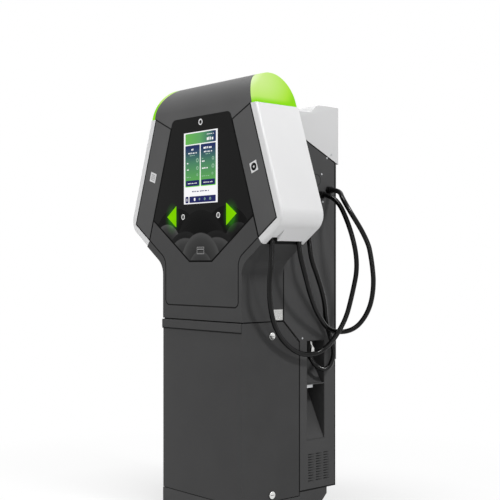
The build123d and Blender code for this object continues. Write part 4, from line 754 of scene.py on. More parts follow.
# %% Every point to its place
crest_row = plus(size["Levels"], 2.0)
across = arch.add("GeometryNodeInputPosition")["Position"]
share, row = (arch.add("ShaderNodeSeparateXYZ", Vector=across)[axis] for axis in "XY")
level = minus(crest_row, arch.maths("ABSOLUTE", row))
spring = minus(size["Top"], size["Rise"])
straight = times(arch.maths("MINIMUM", over(level, 2.0), 1.0), minus(spring, size["Foot"]))
swing = times(over(arch.maths("MAXIMUM", minus(level, 2.0), 0.0), size["Levels"]), math.pi / 2)
lift = arch.maths("SINE", swing)
z = plus(plus(size["Foot"], straight), times(size["Rise"], lift))
upper = over(arch.maths("MAXIMUM", minus(z, CORNER_START), 0.0), minus(size["Top"], CORNER_START))
lean_side = minus(size["Half_Width"], times(minus(z, size["Foot"]), size["Lean"]))
half_x = plus(CORNER_X, times(minus(lean_side, CORNER_X), round_off(upper, CORNER_POWER)))
half_y = times(size["Half_Depth"], round_off(lift, ARCH_POWER))
below = minus(ARC_RADIUS ** 2, arch.maths("POWER", minus(z, ARC_Z), 2.0))
x = times(share, plus(ARC_X, arch.maths("SQRT", below)))
climb = over(minus(z, size["Foot"]), minus(size["Top"], size["Foot"]))
square = plus(FOOT_POWER, times(climb, CREST_POWER - FOOT_POWER))
bulge = times(half_y, round_off(over(arch.maths("ABSOLUTE", x), half_x), square))
middle = plus(plus(size["Half_Depth"], FRONT), times(size["Crest_Shift"], lift))
y = plus(middle, times(arch.maths("SIGN", row), bulge))
grid = arch.add(
    "GeometryNodeMeshGrid", Size_X=2.0, Size_Y=times(crest_row, 2.0),
    Vertices_X=size["Columns"], Vertices_Y=plus(times(crest_row, 2.0), 1.0),
)["Mesh"]
moved = arch.add(
    "GeometryNodeSetPosition", Geometry=grid, Position=arch.vector(X=x, Y=y, Z=z),
)["Geometry"]
arch.end(moved, cover_coat)
cover_mesh = thickened(
    arch.plain_mesh("cover_surface", [(0, 0, 0)]), COVER_SHEET, "head_cover_arch"
)
head_cover = to_object(
    cover_mesh, "head_cover_arch", cover_coat, "cabinet", ARCH_SHARP
)
print("arched cover:", len(cover_mesh.polygons), "faces")

# %% [markdown]
# The flat front of the cover, with its slanting seams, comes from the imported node: its copy is
# cut off where the arch takes over.

# %% The flat front of the cover
flat = merged_copy("top_cover")
bmesh.ops.bisect_plane(
    flat, geom=flat.verts[:] + flat.edges[:] + flat.faces[:], dist=1e-6,
    plane_co=(0, 0, SEAM_Z), plane_no=(0, 0, 1), clear_outer=True,
)
head_front = to_object(
    mesh_of(flat, "head_cover_front"), "head_cover_front", cover_coat, "cabinet",
)
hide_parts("top_cover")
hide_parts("top_cover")
print("flat front:", len(head_front.data.polygons), "faces")

# %% [markdown]
# A lens wraps round its corner. Each level of it runs from the arc on the front, round the end,
# to the arc on the back. Points at even angles would crowd at the corners of so square a slice,
# so they are spread evenly by length.

# %% Corner lenses
LENS_GAP = 1.0 * MM
LENS_SHEET = 4 * MM
LENS_COLUMNS = 64
FINE_STEPS = 240


def lens_row(z, side):
    """Evenly spread points round a corner at one height."""
    half_x, half_y, power, shift = slice_at(z)
    start = min(boundary_x(z) + LENS_GAP, half_x * 0.999)
    turn = math.acos(min(1.0, (start / half_x) ** (power / 2)))
    dense = []
    for k in range(FINE_STEPS + 1):
        angle = turn * (1 - 2 * k / FINE_STEPS)
        c, s = math.cos(angle), math.sin(angle)
        x = half_x * abs(c) ** (2 / power)
        y = math.copysign(half_y * abs(s) ** (2 / power), s)
        dense.append(Vector((x, FRONT + DOME_HALF + shift - y, z)))
    lengths = [0.0]
    for a, b in zip(dense, dense[1:]):
        lengths.append(lengths[-1] + (b - a).length)
    row = []
    here = 0
    for k in range(LENS_COLUMNS + 1):
        goal = lengths[-1] * k / LENS_COLUMNS
        while here < len(dense) - 2 and lengths[here + 1] < goal:
            here += 1
        span = lengths[here + 1] - lengths[here] or 1e-9
        point = dense[here].lerp(dense[here + 1], (goal - lengths[here]) / span)
        row.append((side * point.x, point.y, point.z))
    return row if side > 0 else row[::-1]


def corner_lens(side, hand):
    """One lens: a grid through its rows, thickened to a shell."""
    name = hand + "_corner_lens"
    node = hand + "_light"
    rows = [lens_row(z, side) for z in head_heights()]
    wide = LENS_COLUMNS + 1
    corners = [r * wide + c for r in range(len(rows) - 1) for c in range(LENS_COLUMNS)]
    surface = bpy.data.meshes.new(name + "_surface")
    surface.from_pydata(
        [point for row in rows for point in row], [],
        [(a, a + 1, a + 1 + wide, a + wide) for a in corners],
    )
    lens = to_object(
        thickened(surface, LENS_SHEET, name), name, lens_lime[side], "cabinet",
        ARCH_SHARP,
    )
    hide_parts(node)
    print(name, len(lens.data.polygons), "faces")


for side, hand in SIDES:
    corner_lens(side, hand)

# %% [markdown]
# ## The screen
# The screen shows a plain charging page: a header, two cards, a line of small print and a bottom
# bar. An image would blur from near by, so each block is a thin tile of its own that stands a
# little proud of the white panel. Words are drawn as plain chunks.

# %% Solids from outlines
def prism(near, far):
    """A closed solid between two outlines with as many points."""
    shape = bmesh.new()
    near = [shape.verts.new(point) for point in near]
    far = [shape.verts.new(point) for point in far]
    shape.faces.new(near)
    shape.faces.new(far[::-1])
    for k in range(len(near)):
        n = (k + 1) % len(near)
        shape.faces.new((near[n], near[k], far[k], far[n]))
    bmesh.ops.recalc_face_normals(shape, faces=shape.faces)
    return shape


def band(loops):
    """A closed band through loops of points, each joined to the next, the last to the first."""
    shape = bmesh.new()
    rows = [[shape.verts.new(point) for point in loop] for loop in loops]
    for k in range(len(rows[0])):
        n = (k + 1) % len(rows[0])
        for a, b in zip(rows, rows[1:] + rows[:1]):
            shape.faces.new((a[k], a[n], b[n], b[k]))
    bmesh.ops.recalc_face_normals(shape, faces=shape.faces)
    return shape


print("solids ready")

# %% [markdown]
# What lies flat on the front is a rounded tile or a ring. Both are worked out from arcs, with
# few corners, because they are a few millimetres wide.

# %% Flat shapes
CORNER_STEPS = 5
RING_STEPS = 32


def arc(cx, cz, radius, first, sweep, steps):
    """Points along an arc, from its first angle in degrees."""
    angles = [math.radians(first + sweep * k / steps) for k in range(steps + 1)]
    return [(cx + radius * math.cos(a), cz + radius * math.sin(a)) for a in angles]


def rounded_rectangle(x0, z0, x1, z1, radius):
    """Corner points of a rounded rectangle, anticlockwise."""
    radius = min(radius, (x1 - x0) / 2, (z1 - z0) / 2)
    left, right, low, high = x0 + radius, x1 - radius, z0 + radius, z1 - radius
    centres = ((right, low, -90), (right, high, 0), (left, high, 90), (left, low, 180))
    return [p for cx, cz, first in centres for p in arc(cx, cz, radius, first, 90, CORNER_STEPS)]


def ring(cx, cz, outer, inner, lift, depth):
    """A flat ring that stands lift in front of the head."""
    return band([
        [(x, FRONT - lift + back, z) for x, z in arc(cx, cz, radius, 0, 360, RING_STEPS)[:-1]]
        for radius, back in ((outer, 0), (inner, 0), (inner, depth), (outer, depth))
    ])


def piece_from(parts, name, material):
    """Joins bmeshes to one piece on the cabinet."""
    whole = bmesh.new()
    for part in parts:
        temporary = mesh_of(part, "temporary")
        whole.from_mesh(temporary)
        bpy.data.meshes.remove(temporary)
    to_object(mesh_of(whole, name), name, material, "cabinet")
    print(name, "joined from", len(parts), "parts")


print("a ring has", RING_STEPS, "steps")

# %% [markdown]
# The page is laid out in shares of the screen: u runs from left to right and v from top to
# bottom. Writing is a row of chunks whose widths and heights wander, as those of words do.

# %% Tiles and words
SCREEN_LOW, SCREEN_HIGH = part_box("display_module")
PAGE_SIDE, PAGE_FOOT, PAGE_HEAD = 16.5 * MM, 6 * MM, 10.5 * MM
PAGE_X0, PAGE_X1 = SCREEN_LOW.x + PAGE_SIDE, SCREEN_HIGH.x - PAGE_SIDE
PAGE_Z0, PAGE_Z1 = SCREEN_LOW.z + PAGE_FOOT, SCREEN_HIGH.z - PAGE_HEAD
TILE = 0.4 * MM
WORD_RADIUS = 0.6 * MM


def on_page(u, v):
    """The place (x, z) of a point on the page."""
    return PAGE_X0 + u * (PAGE_X1 - PAGE_X0), PAGE_Z1 - v * (PAGE_Z1 - PAGE_Z0)


def block(u0, v0, u1, v1, radius=0.004, level=1):
    """A rounded tile; a higher level stands further proud."""
    x0, z1 = on_page(u0, v0)
    x1, z0 = on_page(u1, v1)
    outline = rounded_rectangle(x0, z0, x1, z1, radius)
    front, back = ([(x, y, z) for x, z in outline] for y in (FRONT - level * TILE, FRONT))
    return prism(front, back)


def words(u0, v0, u1, v1, count, level=1.6):
    """A line of plain chunks that reads as writing from afar, but says nothing."""
    parts = []
    step = (u1 - u0) / count
    for k in range(count):
        share = 0.60 + 0.25 * math.sin(2.4 * k + 1.0)
        lift = 0.3 * (v1 - v0) * (0.5 + 0.5 * math.sin(5.1 * k))
        left = u0 + k * step
        parts.append(block(left, v0 + lift, left + share * step, v1, WORD_RADIUS, level))
    return parts


print("page is", round(PAGE_X1 - PAGE_X0, 3), "by", round(PAGE_Z1 - PAGE_Z0, 3), "m")

# %% [markdown]
# The prints glow, because a screen is a lamp: a plain colour, or a gradient from one side of
# the page to the other, with a little unevenness from pixel to pixel.

# %% Glowing prints
PIXEL_SCALE = 900.0


def lit(name, *stops, axis="Z"):
    """A glowing print with a gradient along one axis of the page."""
    material, tree, shader = new_material(name)
    tune(
        shader, Base_Color=grey(0.004), Roughness=0.25, Specular_IOR_Level=0.03,
        Emission_Strength=1.0,
    )
    low, high = (PAGE_Z0, PAGE_Z1) if axis == "Z" else (PAGE_X0, PAGE_X1)
    place = tree.nodes.new("ShaderNodeMapRange")
    tune(place, From_Min=low, From_Max=high)
    plug(tree, own_axis(tree, axis), place.inputs["Value"])
    pixels = noise(tree, PIXEL_SCALE, 1.0)
    mixed = maths(tree, "MULTIPLY_ADD", pixels, 0.02, place.outputs["Result"])
    plug(tree, ramp(tree, mixed, *stops), shader.inputs["Emission Color"])
    return material


def lit_plain(name, colour):
    return lit(name, (0.0, colour), (1.0, colour))


screen_white = lit_plain("screen_white", (0.93, 0.93, 0.95))
screen_navy = lit_plain("screen_navy", (0.010, 0.014, 0.105))
screen_pale = lit_plain("screen_pale", (0.34, 0.55, 0.40))
screen_lime = lit(
    "screen_lime", (0.30, (0.20, 0.68, 0.05)), (0.50, (0.07, 0.36, 0.06)),
    (0.75, (0.02, 0.08, 0.10)),
)
screen_card = lit(
    "screen_card", (0.26, (0.14, 0.52, 0.06)), (0.36, (0.10, 0.36, 0.09)),
    (0.58, (0.065, 0.22, 0.12)), (0.74, (0.025, 0.06, 0.12)), (0.80, (0.012, 0.022, 0.11)),
)
screen_header = lit(
    "screen_header", (0.05, (0.13, 0.46, 0.08)), (0.50, (0.11, 0.36, 0.12)),
    (0.78, (0.05, 0.17, 0.13)), (0.93, (0.012, 0.03, 0.11)), axis="X",
)
print("prints made")

# %% [markdown]
# Now the page is set. Tiles that lie on other tiles get a higher level, as cards on a table do,
# so that no two faces share a plane and flicker.

# %% The page
CARD_RIMS = ((0.025, 0.182, 0.480, 0.750), (0.510, 0.182, 0.965, 0.750))
CARDS = ((0.033, 0.188, 0.472, 0.744), (0.518, 0.188, 0.957, 0.744))
CARD_BUTTONS = ((0.045, 0.662, 0.462, 0.738), (0.528, 0.662, 0.945, 0.738))
BOTTOM_BAR = ((0.03, 0.880, 0.125, 0.968), (0.155, 0.880, 0.965, 0.968))
WHITE_WORDS = (  # left, top, right, bottom, chunks, level
    (0.70, 0.098, 0.90, 0.140, 4, 1.8), (0.70, 0.052, 0.92, 0.064, 6, 1.8),
    (0.11, 0.695, 0.40, 0.708, 7, 2.2), (0.60, 0.695, 0.88, 0.708, 7, 2.2),
    (0.22, 0.228, 0.30, 0.252, 2), (0.60, 0.222, 0.88, 0.250, 5),
    (0.12, 0.280, 0.40, 0.298, 6), (0.61, 0.280, 0.87, 0.298, 6),
    (0.08, 0.415, 0.13, 0.432, 1), (0.55, 0.405, 0.65, 0.424, 2),
    (0.08, 0.505, 0.15, 0.520, 1), (0.55, 0.500, 0.76, 0.518, 3),
)
BAR_SIGNS = ((0.070, 0.905, 0.088, 0.943, 0.001, 2.2), (0.30, 0.902, 0.345, 0.944, 0.004, 2.2))
PALE_WORDS = (
    (0.17, 0.316, 0.35, 0.327, 3), (0.66, 0.316, 0.82, 0.327, 3), (0.07, 0.610, 0.22, 0.620, 3),
    (0.55, 0.610, 0.78, 0.620, 4), (0.55, 0.372, 0.60, 0.382, 1),
)
DIALS = (  # across, down, radius
    (0.405, 0.395, 0.0085), (0.405, 0.500, 0.0075), (0.405, 0.590, 0.0050),
    (0.885, 0.388, 0.0070), (0.885, 0.490, 0.0085), (0.870, 0.590, 0.0050),
    (0.475, 0.924, 0.0045), (0.635, 0.924, 0.0050), (0.800, 0.924, 0.0055),
)


def dial(u, v, radius):
    return ring(*on_page(u, v), radius, radius * 0.62, 1.8 * TILE, 0.6 * TILE)


paint("display_module", screen_white)
piece_from([block(0.03, 0.02, 0.97, 0.168)], "page_header", screen_header)
piece_from([block(*rim) for rim in CARD_RIMS], "page_card_rims", screen_lime)
piece_from([block(*card, level=1.3) for card in CARDS], "page_cards", screen_card)
piece_from(
    [block(*button, level=1.6) for button in CARD_BUTTONS] + [block(*bar) for bar in BOTTOM_BAR],
    "page_navy_blocks", screen_navy,
)
piece_from(
    [chunk for line in WHITE_WORDS for chunk in words(*line)]
    + [block(*sign) for sign in BAR_SIGNS], "page_bars", screen_white,
)
piece_from(
    [chunk for line in PALE_WORDS for chunk in words(*line)] + [dial(*spot) for spot in DIALS],
    "page_dials", screen_pale,
)
piece_from(words(0.24, 0.806, 0.78, 0.822, 11, 1.0), "page_small_print", screen_navy)

# %% [markdown]
# ## Tags and marks on the front
# Each connector tag is a white card turned to follow the leaning panel, with a plain round sign
# for one kind of plug and a plain square sign for the other. A white ring marks the top of the
# glass, and the outline of a card shows where to hold one. Like the page, they are thin solids
# and no image: a quarter of a millimetre of print, sharp from near by.

# %% Marks on the front
tag_black = coat("tag_black", grey(0.004), 0.4, grain=0.05, shine=0.05)
tag_grey = coat("tag_grey", (0.16, 0.16, 0.165), 0.4, grain=0.05)
print_white = coat("print_white", (0.62, 0.62, 0.63), 0.5, spread=0.02, grain=0.05)
print_grey = coat("print_grey", grey(0.25), 0.5, grain=0.05)
TAG_X, TAG_Z = 0.340, 1.461
TAG_TURN = -math.atan(LEAN)
SIGN = 0.25 * MM
TAG_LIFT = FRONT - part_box("connector_tags")[0].y + SIGN
CARD_Z, STRIPE_RISE = 1.132, 5.5 * MM
GLASS_RING_Z = 1.674


def window(cx, cz, half_w, half_h, line, turn, lift):
    """A thin rectangular frame, turned about its middle, that stands lift in front of the head."""
    cos, sin = math.cos(turn), math.sin(turn)
    loops = []
    for shrink, back in ((0, 0), (line, 0), (line, SIGN), (0, SIGN)):
        loop = []
        for u, v in ((-1, -1), (1, -1), (1, 1), (-1, 1)):
            x, z = u * (half_w - shrink), v * (half_h - shrink)
            loop.append((cx + x * cos - z * sin, FRONT - lift + back, cz + x * sin + z * cos))
        loops.append(loop)
    return band(loops)


piece_from(
    [ring(TAG_X, TAG_Z, outer=0.0158, inner=0.0046, lift=TAG_LIFT, depth=SIGN)],
    "right_tag_ring", tag_black,
)
piece_from([
    window(-TAG_X, TAG_Z, 0.0125, 0.0125, line=0.0022, turn=TAG_TURN, lift=TAG_LIFT),
    ring(-TAG_X, TAG_Z, outer=0.0062, inner=0.0042, lift=TAG_LIFT, depth=SIGN),
], "left_tag_sign", tag_grey)
piece_from(
    [ring(0.0, GLASS_RING_Z, outer=0.0135, inner=0.0085, lift=SIGN, depth=SIGN)],
    "glass_ring", print_white,
)
piece_from([
    window(0.0, CARD_Z, 0.024, 0.015, line=0.0022, turn=0.0, lift=SIGN),
    window(0.0, CARD_Z + STRIPE_RISE, 0.0235, 0.0018, line=0.0018, turn=0.0, lift=SIGN),
], "glass_card_sign", print_grey)

# %% [markdown]
# ## Panel screws
# A screw head is a low cone with a cross cut into it, laid on its place on the side and given
# its own chance turn, as real screws have. A cross that is only drawn looks flat from near by,
# so a Mesh Boolean cuts it for real, once, before the head is repeated.

# %% Screw heads
SCREWS = ((341, 760), (457, 1462), (463, 1344), (489, 1534), (515, 1550))
CUT_DEPTH = 1.2 * MM
QUARTER_TURN = math.pi / 2
screws = Growth("screw_heads", Radius=4.5 * MM, Height=1.5 * MM, Side=1.0, Seed=7)
size = screws.inputs
crossed = screws.add(
    "GeometryNodeMeshCone", Vertices=28, Radius_Top=screws.maths("MULTIPLY", size["Radius"], 0.72),
    Radius_Bottom=size["Radius"], Depth=size["Height"],
)["Mesh"]
arm, line = (screws.maths("MULTIPLY", size["Radius"], share) for share in (1.15, 0.24))
for a, b in ((arm, line), (line, arm)):
    cut = screws.add("GeometryNodeMeshCube", Size=screws.vector(X=a, Y=b, Z=CUT_DEPTH))["Mesh"]
    cut = screws.add(
        "GeometryNodeTransform", Geometry=cut,
        Translation=screws.vector(X=0.0, Y=0.0, Z=size["Height"]),
    )["Geometry"]
    crossed = screws.add("GeometryNodeMeshBoolean", "DIFFERENCE", i0=crossed, i1=cut)["Mesh"]
outwards = screws.vector(X=0.0, Y=screws.maths("MULTIPLY", size["Side"], QUARTER_TURN), Z=0.0)
turned = screws.repeat(crossed, size["Geometry"], outwards)
chance = screws.add("FunctionNodeRandomValue", i2=0.0, i3=math.pi, Seed=size["Seed"])
spun = screws.add(
    "GeometryNodeRotateInstances", Instances=turned,
    Rotation=screws.vector(X=0.0, Y=0.0, Z=chance[1]),
)["Instances"]
screws.end(spun, galvanised)
for side, hand in SIDES:
    piece = screws.grow(
        hand + "_screw_heads", [at(side * HALF / MM, depth, z) for depth, z in SCREWS],
        SLOT_OF["panel_screws"], galvanised, Side=float(side),
    )
    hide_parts("panel_screws")

# %% [markdown]
# ## Louvres
# Each ventilation slot holds one slat. It is flush with the sheet at its rear end and dips behind
# it at its front end, so air gets in and rain doesn't. A black filter mat closes the field. One
# slat and a grid of places are enough, so a tree repeats the slat over the grid, and the whole
# field over the place of the vent.

# %% The fields of slats
VENT_DEPTH, VENT_Z = 438, 206
SLAT_SINK, MAT_SINK = 3.4, 13
SLAT_TILT = 0.16
MAT_HALF = Vector((2, 71, 66)) * MM
louvres = Growth(
    "louvre_field", Columns=3, Rows=11, Column_pitch=46 * MM, Row_pitch=11.2 * MM,
    Length=35 * MM, Height=3.8 * MM, Thickness=0.8 * MM, Tilt=SLAT_TILT,
)
size = louvres.inputs
wide, high = (
    louvres.maths("MULTIPLY", size[pitch], louvres.maths("SUBTRACT", size[count], 1))
    for pitch, count in (("Column_pitch", "Columns"), ("Row_pitch", "Rows"))
)
field = louvres.add(
    "GeometryNodeMeshGrid", Vertices_X=size["Columns"], Vertices_Y=size["Rows"], Size_X=wide,
    Size_Y=high,
)["Mesh"]
upright = louvres.add(
    "GeometryNodeTransform", Geometry=field, Rotation=(QUARTER_TURN, 0.0, QUARTER_TURN),
)["Geometry"]
slat = louvres.add("GeometryNodeMeshCube", Size=louvres.vector(
    X=size["Thickness"], Y=size["Length"], Z=size["Height"],
))["Mesh"]
slats = louvres.repeat(slat, upright, louvres.vector(X=0.0, Y=0.0, Z=size["Tilt"]))
louvres.end(louvres.repeat(slats, size["Geometry"], (0.0, 0.0, 0.0)), side_coat)


def box_piece(name, low, high, material, body="cabinet"):
    """A box between two corners."""
    box = bmesh.new()
    bmesh.ops.create_cube(box, size=1.0)
    for corner in box.verts:
        corner.co = Vector([low[k] if corner.co[k] < 0 else high[k] for k in range(3)])
    to_object(mesh_of(box, name), name, material, body)


for side, hand in SIDES:
    centre = at(side * (HALF / MM - SLAT_SINK), VENT_DEPTH, VENT_Z)
    louvres.grow(
        hand + "_louvres", [centre], "graphite_paint", side_coat, Tilt=-side * SLAT_TILT
    )
    behind = at(side * (HALF / MM - MAT_SINK), VENT_DEPTH, VENT_Z)
    box_piece(hand + "_vent_filter", behind - MAT_HALF, behind + MAT_HALF, seal_rubber)

# %% [markdown]
# ## Knock-outs
# The knock-out for a spare cable is a shallow ring in the side sheet: a circle with a thin
# profile run along it. A curve with a profile gives that in two nodes, and stays round when its
# size changes. It is turned to lie on the left or the right side by the sign of that side.

# %% Knock-outs
KNOCK_OUT_DEPTH, KNOCK_OUT_Z, KNOCK_OUT_SINK = 425, 1436, 0.4
rings = Growth("knock_out_rings", Radius=24 * MM, Line=2.2 * MM, Side=1.0)
size = rings.inputs
path, profile = (
    rings.add("GeometryNodeCurvePrimitiveCircle", Resolution=steps, Radius=radius)["Curve"]
    for steps, radius in ((48, size["Radius"]), (8, rings.maths("MULTIPLY", size["Line"], 0.5)))
)
tube = rings.add("GeometryNodeCurveToMesh", Curve=path, Profile_Curve=profile)["Mesh"]
outwards = rings.vector(X=0.0, Y=rings.maths("MULTIPLY", size["Side"], QUARTER_TURN), Z=0.0)
# The ring is black: painted shade for the groove round the knock-out.
rings.end(rings.repeat(tube, size["Geometry"], outwards), shade_black)
for side, hand in SIDES:
    rings.grow(
        hand + "_knock_out",
        [at(side * (HALF / MM - KNOCK_OUT_SINK), KNOCK_OUT_DEPTH, KNOCK_OUT_Z)],
        "graphite_paint", shade_black, Side=float(side),
    )

# %% [markdown]
# ## Gland ribs
# The nut of a cable gland has grip ribs round it. One small bar stands on every point of a
# circle, and the whole crown is repeated on every gland, so a cable more or less is one place
# more or less in the list.

# %% Gland ribs
GLANDS = ((450, 1372), (497, 1395), (330, 1330))
NUT_PROUD = 15
ribs = Growth("gland_ribs", Radius=14.2 * MM, Count=24, Length=8 * MM, Rib=1.0 * MM)
size = ribs.inputs
hoop = ribs.add("GeometryNodeMeshCircle", Vertices=size["Count"], Radius=size["Radius"])["Mesh"]
rib = ribs.add("GeometryNodeMeshCube", Size=ribs.vector(
    X=size["Rib"], Y=size["Rib"], Z=size["Length"],
))["Mesh"]
crown = ribs.repeat(rib, hoop, (0.0, 0.0, 0.0))
ribs.end(ribs.repeat(crown, size["Geometry"], (0.0, QUARTER_TURN, 0.0)), black_plastic)
ribs.grow(
    "gland_grip_ribs", [at(HALF / MM + NUT_PROUD, depth, z) for depth, z in GLANDS],
    SLOT_OF["cable_glands"], black_plastic,
)

# %% [markdown]
# ## Locks and latch
# A quarter-turn lock shows the dark slot of its key, and the pocket's latch has two bright
# prongs. Shade alone leaves so small a slot grey, so a thin dark bar lies in it, rides on the
# lock and turns with it. The prongs are one outline, drawn from the side, with rounded edges.

# %% Key slots and prongs
LOCK_DEPTH, LOCK_LEVELS = 164, (("low", 122), ("high", 777))
KEY_HALF, KEY_LINE = 11, 0.9
KEY_BACK, KEY_FRONT = 1.6 * MM, 0.1 * MM
PRONGS = (
    (383, 745), (389, 745), (393, 732), (399, 722), (406, 716), (406, 701), (400, 699),
    (399, 711), (397, 711), (396, 698), (389, 698), (389, 718), (387, 730),
)
PRONG_X0, PRONG_X1, PRONG_EDGE = 267, 271, 0.6 * MM
for side, hand in SIDES:
    for level, z in LOCK_LEVELS:
        node = f"{hand}_{level}_lock"
        low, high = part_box(node)
        face = high.x if side > 0 else low.x
        x0, x1 = sorted((face - side * KEY_BACK, face - side * KEY_FRONT))
        first = at(0, LOCK_DEPTH - KEY_HALF, z - KEY_LINE)
        last = at(0, LOCK_DEPTH + KEY_HALF, z + KEY_LINE)
        box_piece(
            node + "_key_slot", (x0, *first.yz), (x1, *last.yz), shade_black, body_of(node),
        )
prongs = prism(*([at(x, depth, z) for depth, z in PRONGS] for x in (PRONG_X0, PRONG_X1)))
bmesh.ops.bevel(
    prongs, geom=prongs.edges[:], offset=PRONG_EDGE, segments=2, affect="EDGES", profile=0.5
)
to_object(
    mesh_of(prongs, "latch_prongs"), "latch_prongs", bright_metal, body_of("release_lever"),
)
print("fittings done")

# %% [markdown]
# ## Shadow gaps
# Neighbouring panels stop a few millimetres short of each other, and the gap reads as a black
# line. A black strip in each gap paints that shade and keeps the line black from every side.
# Drawn by hand it would miss the corners, so its path is the outline of the panel's own outer
# face, and the strip reaches from just behind the panel's edge to the far side of the gap.

# %% The outline of a panel
FLAT_WITHIN = 0.5 * MM


def outline_of(node, axis, sign):
    """The longest edge loop round a node's outermost flat face, in order."""
    source = merged_copy(node)
    source.normal_update()
    outermost = max(v.co[axis] * sign for v in source.verts)
    faces = [
        f for f in source.faces if f.normal[axis] * sign > 0.99
        and abs(f.calc_center_median()[axis] * sign - outermost) < FLAT_WITHIN
    ]
    chosen = set(faces)
    rim = {}
    for face in faces:
        for loop in face.loops:
            if not any(other in chosen for other in loop.edge.link_faces if other is not face):
                rim[loop.vert.index] = loop.link_loop_next.vert.index
    places = {v.index: v.co.copy() for v in source.verts}
    source.free()
    loops = []
    while rim:
        start, here = next(iter(rim.items()))
        loop = [start]
        del rim[start]
        while here != start and here in rim:
            loop.append(here)
            here = rim.pop(here)
        loops.append([places[k] for k in loop])
    return max(loops, key=lambda points: sum((a - b).length for a, b in zip(points, points[1:])))


print("hatch outline:", len(outline_of("front_hatch", 1, -1)), "corners")

# %% [markdown]
# The strip is a flat band between two rails beside the outline. At a corner the rails are
# mitred, and a very sharp corner is cut short, so that the strip can't shoot out of the gap.

# %% Strips in the gaps
STRIP_PROUD, STRIP_BACK = 0.15 * MM, 1.2 * MM
FRONT_JOINTS = (  # panel, start and end of its strip in millimetres from its edge
    ("front_hatch", -2.0, 3.6), ("right_front_panel", -2.4, 3.8),
    ("left_front_panel", -2.4, 3.8), ("display_glass", -1.6, 3.6),
)
SIDE_JOINT = (-2.8, 3.0)
SHARPEST_MITRE = 0.35


def rail_beside(loop, normal, reach):
    """The loop moved sideways in its own plane, with mitred corners."""
    rail = []
    for k in range(len(loop)):
        before = (loop[k] - loop[k - 1]).normalized()
        after = (loop[(k + 1) % len(loop)] - loop[k]).normalized()
        side_a, side_b = before.cross(normal), after.cross(normal)
        mitre = side_a + side_b
        if mitre.length < 1e-6:
            mitre = side_a
        mitre.normalize()
        rail.append(loop[k] + mitre * (reach / max(SHARPEST_MITRE, mitre.dot(side_a))))
    return rail


def gap_shade_strip(node, axis, sign, inner, outer):
    """A strip of painted shade along a panel's outline, from inner to outer beside its edge."""
    name = node + "_seal"
    loop = outline_of(node, axis, sign)
    normal = Vector([sign if k == axis else 0 for k in range(3)])
    near, far = (rail_beside(loop, normal, reach * MM) for reach in (inner, outer))
    strip = band([
        [point + normal * lift for point in rail] for rail, lift in (
            (near, STRIP_PROUD), (far, STRIP_PROUD), (far, -STRIP_BACK), (near, -STRIP_BACK),
        )
    ])
    to_object(mesh_of(strip, name), name, seal_rubber, "cabinet")
    print(name, "follows", len(loop), "corners")


# Every strip is painted shade: black where the gap between panels is dark.
for panel, inner, outer in FRONT_JOINTS:
    gap_shade_strip(panel, 1, -1, inner, outer)
for side, hand in SIDES:
    gap_shade_strip(hand + "_side_plate", 0, side, *SIDE_JOINT)

# %% [markdown]
# The pull-off lower cover has flat rubber above it and below it, against the housing and the
# plinth: a strip along the front and one along each side. They close the joint against light
# from the hollow inside. One more black strip, under the lip, rides on the cover: it is the
# lip's shadow, painted.

# %% Rubber round the lower cover
RUBBER_INSET, RUBBER_WIDE, RUBBER_DEEP, RUBBER_SPARE = 4.5 * MM, 10 * MM, 14 * MM, 0.4 * MM
FOOT_DROP, FOOT_REAR_INSET, HOUSING_REAR = 9 * MM, 2 * MM, 220 * MM
LIP_INSET, LIP_OVERLAP, LIP_SHADOW_DROP = 1.5 * MM, 0.5 * MM, 3.5 * MM
cover_low, cover_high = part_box("lower_cover")
lip_low, lip_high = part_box("cover_lip")
edge_x, edge_y = HALF - RUBBER_INSET, FRONT + RUBBER_INSET
side_y = edge_y + RUBBER_DEEP + 0.5 * MM
for joint, low, high, rear in (
    ("housing_seal", cover_high.z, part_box("front_housing")[0].z, FRONT + HOUSING_REAR),
    ("foot_seal", cover_low.z - FOOT_DROP, cover_low.z, cover_high.y - FOOT_REAR_INSET),
):
    for k, (x0, x1, y0, y1) in enumerate((
        (-edge_x, edge_x, edge_y, edge_y + RUBBER_DEEP),
        (-edge_x, -edge_x + RUBBER_WIDE, side_y, rear),
        (edge_x - RUBBER_WIDE, edge_x, side_y, rear),
    ), start=1):
        box_piece(
            f"{joint}_{k}", (x0, y0, low + RUBBER_SPARE), (x1, y1, high - RUBBER_SPARE), seal_rubber
        )
# A painted shadow: a black strip on the cover just under the lip.
box_piece(
    "lip_seal", (lip_low.x + LIP_INSET, lip_low.y + LIP_OVERLAP, lip_low.z - LIP_SHADOW_DROP),
    (lip_high.x - LIP_INSET, FRONT + LIP_OVERLAP, lip_low.z - 0.1 * MM), seal_rubber,
    body_of("cover_lip"),
)
print("seals laid; the lip stands out", round((FRONT - lip_low.y) / MM, 1), "mm")

# %% [markdown]
# ## Cables
# Three charging cables leave the glands on the right side. Each hangs in its own lazy loop: two
# go up into the holders under the right wing and one to the connector in the upper pocket. The
# route is a short list of places along the hang, and a spline led by them gives a run without
# kinks. The same line without thickness is measured for the length.

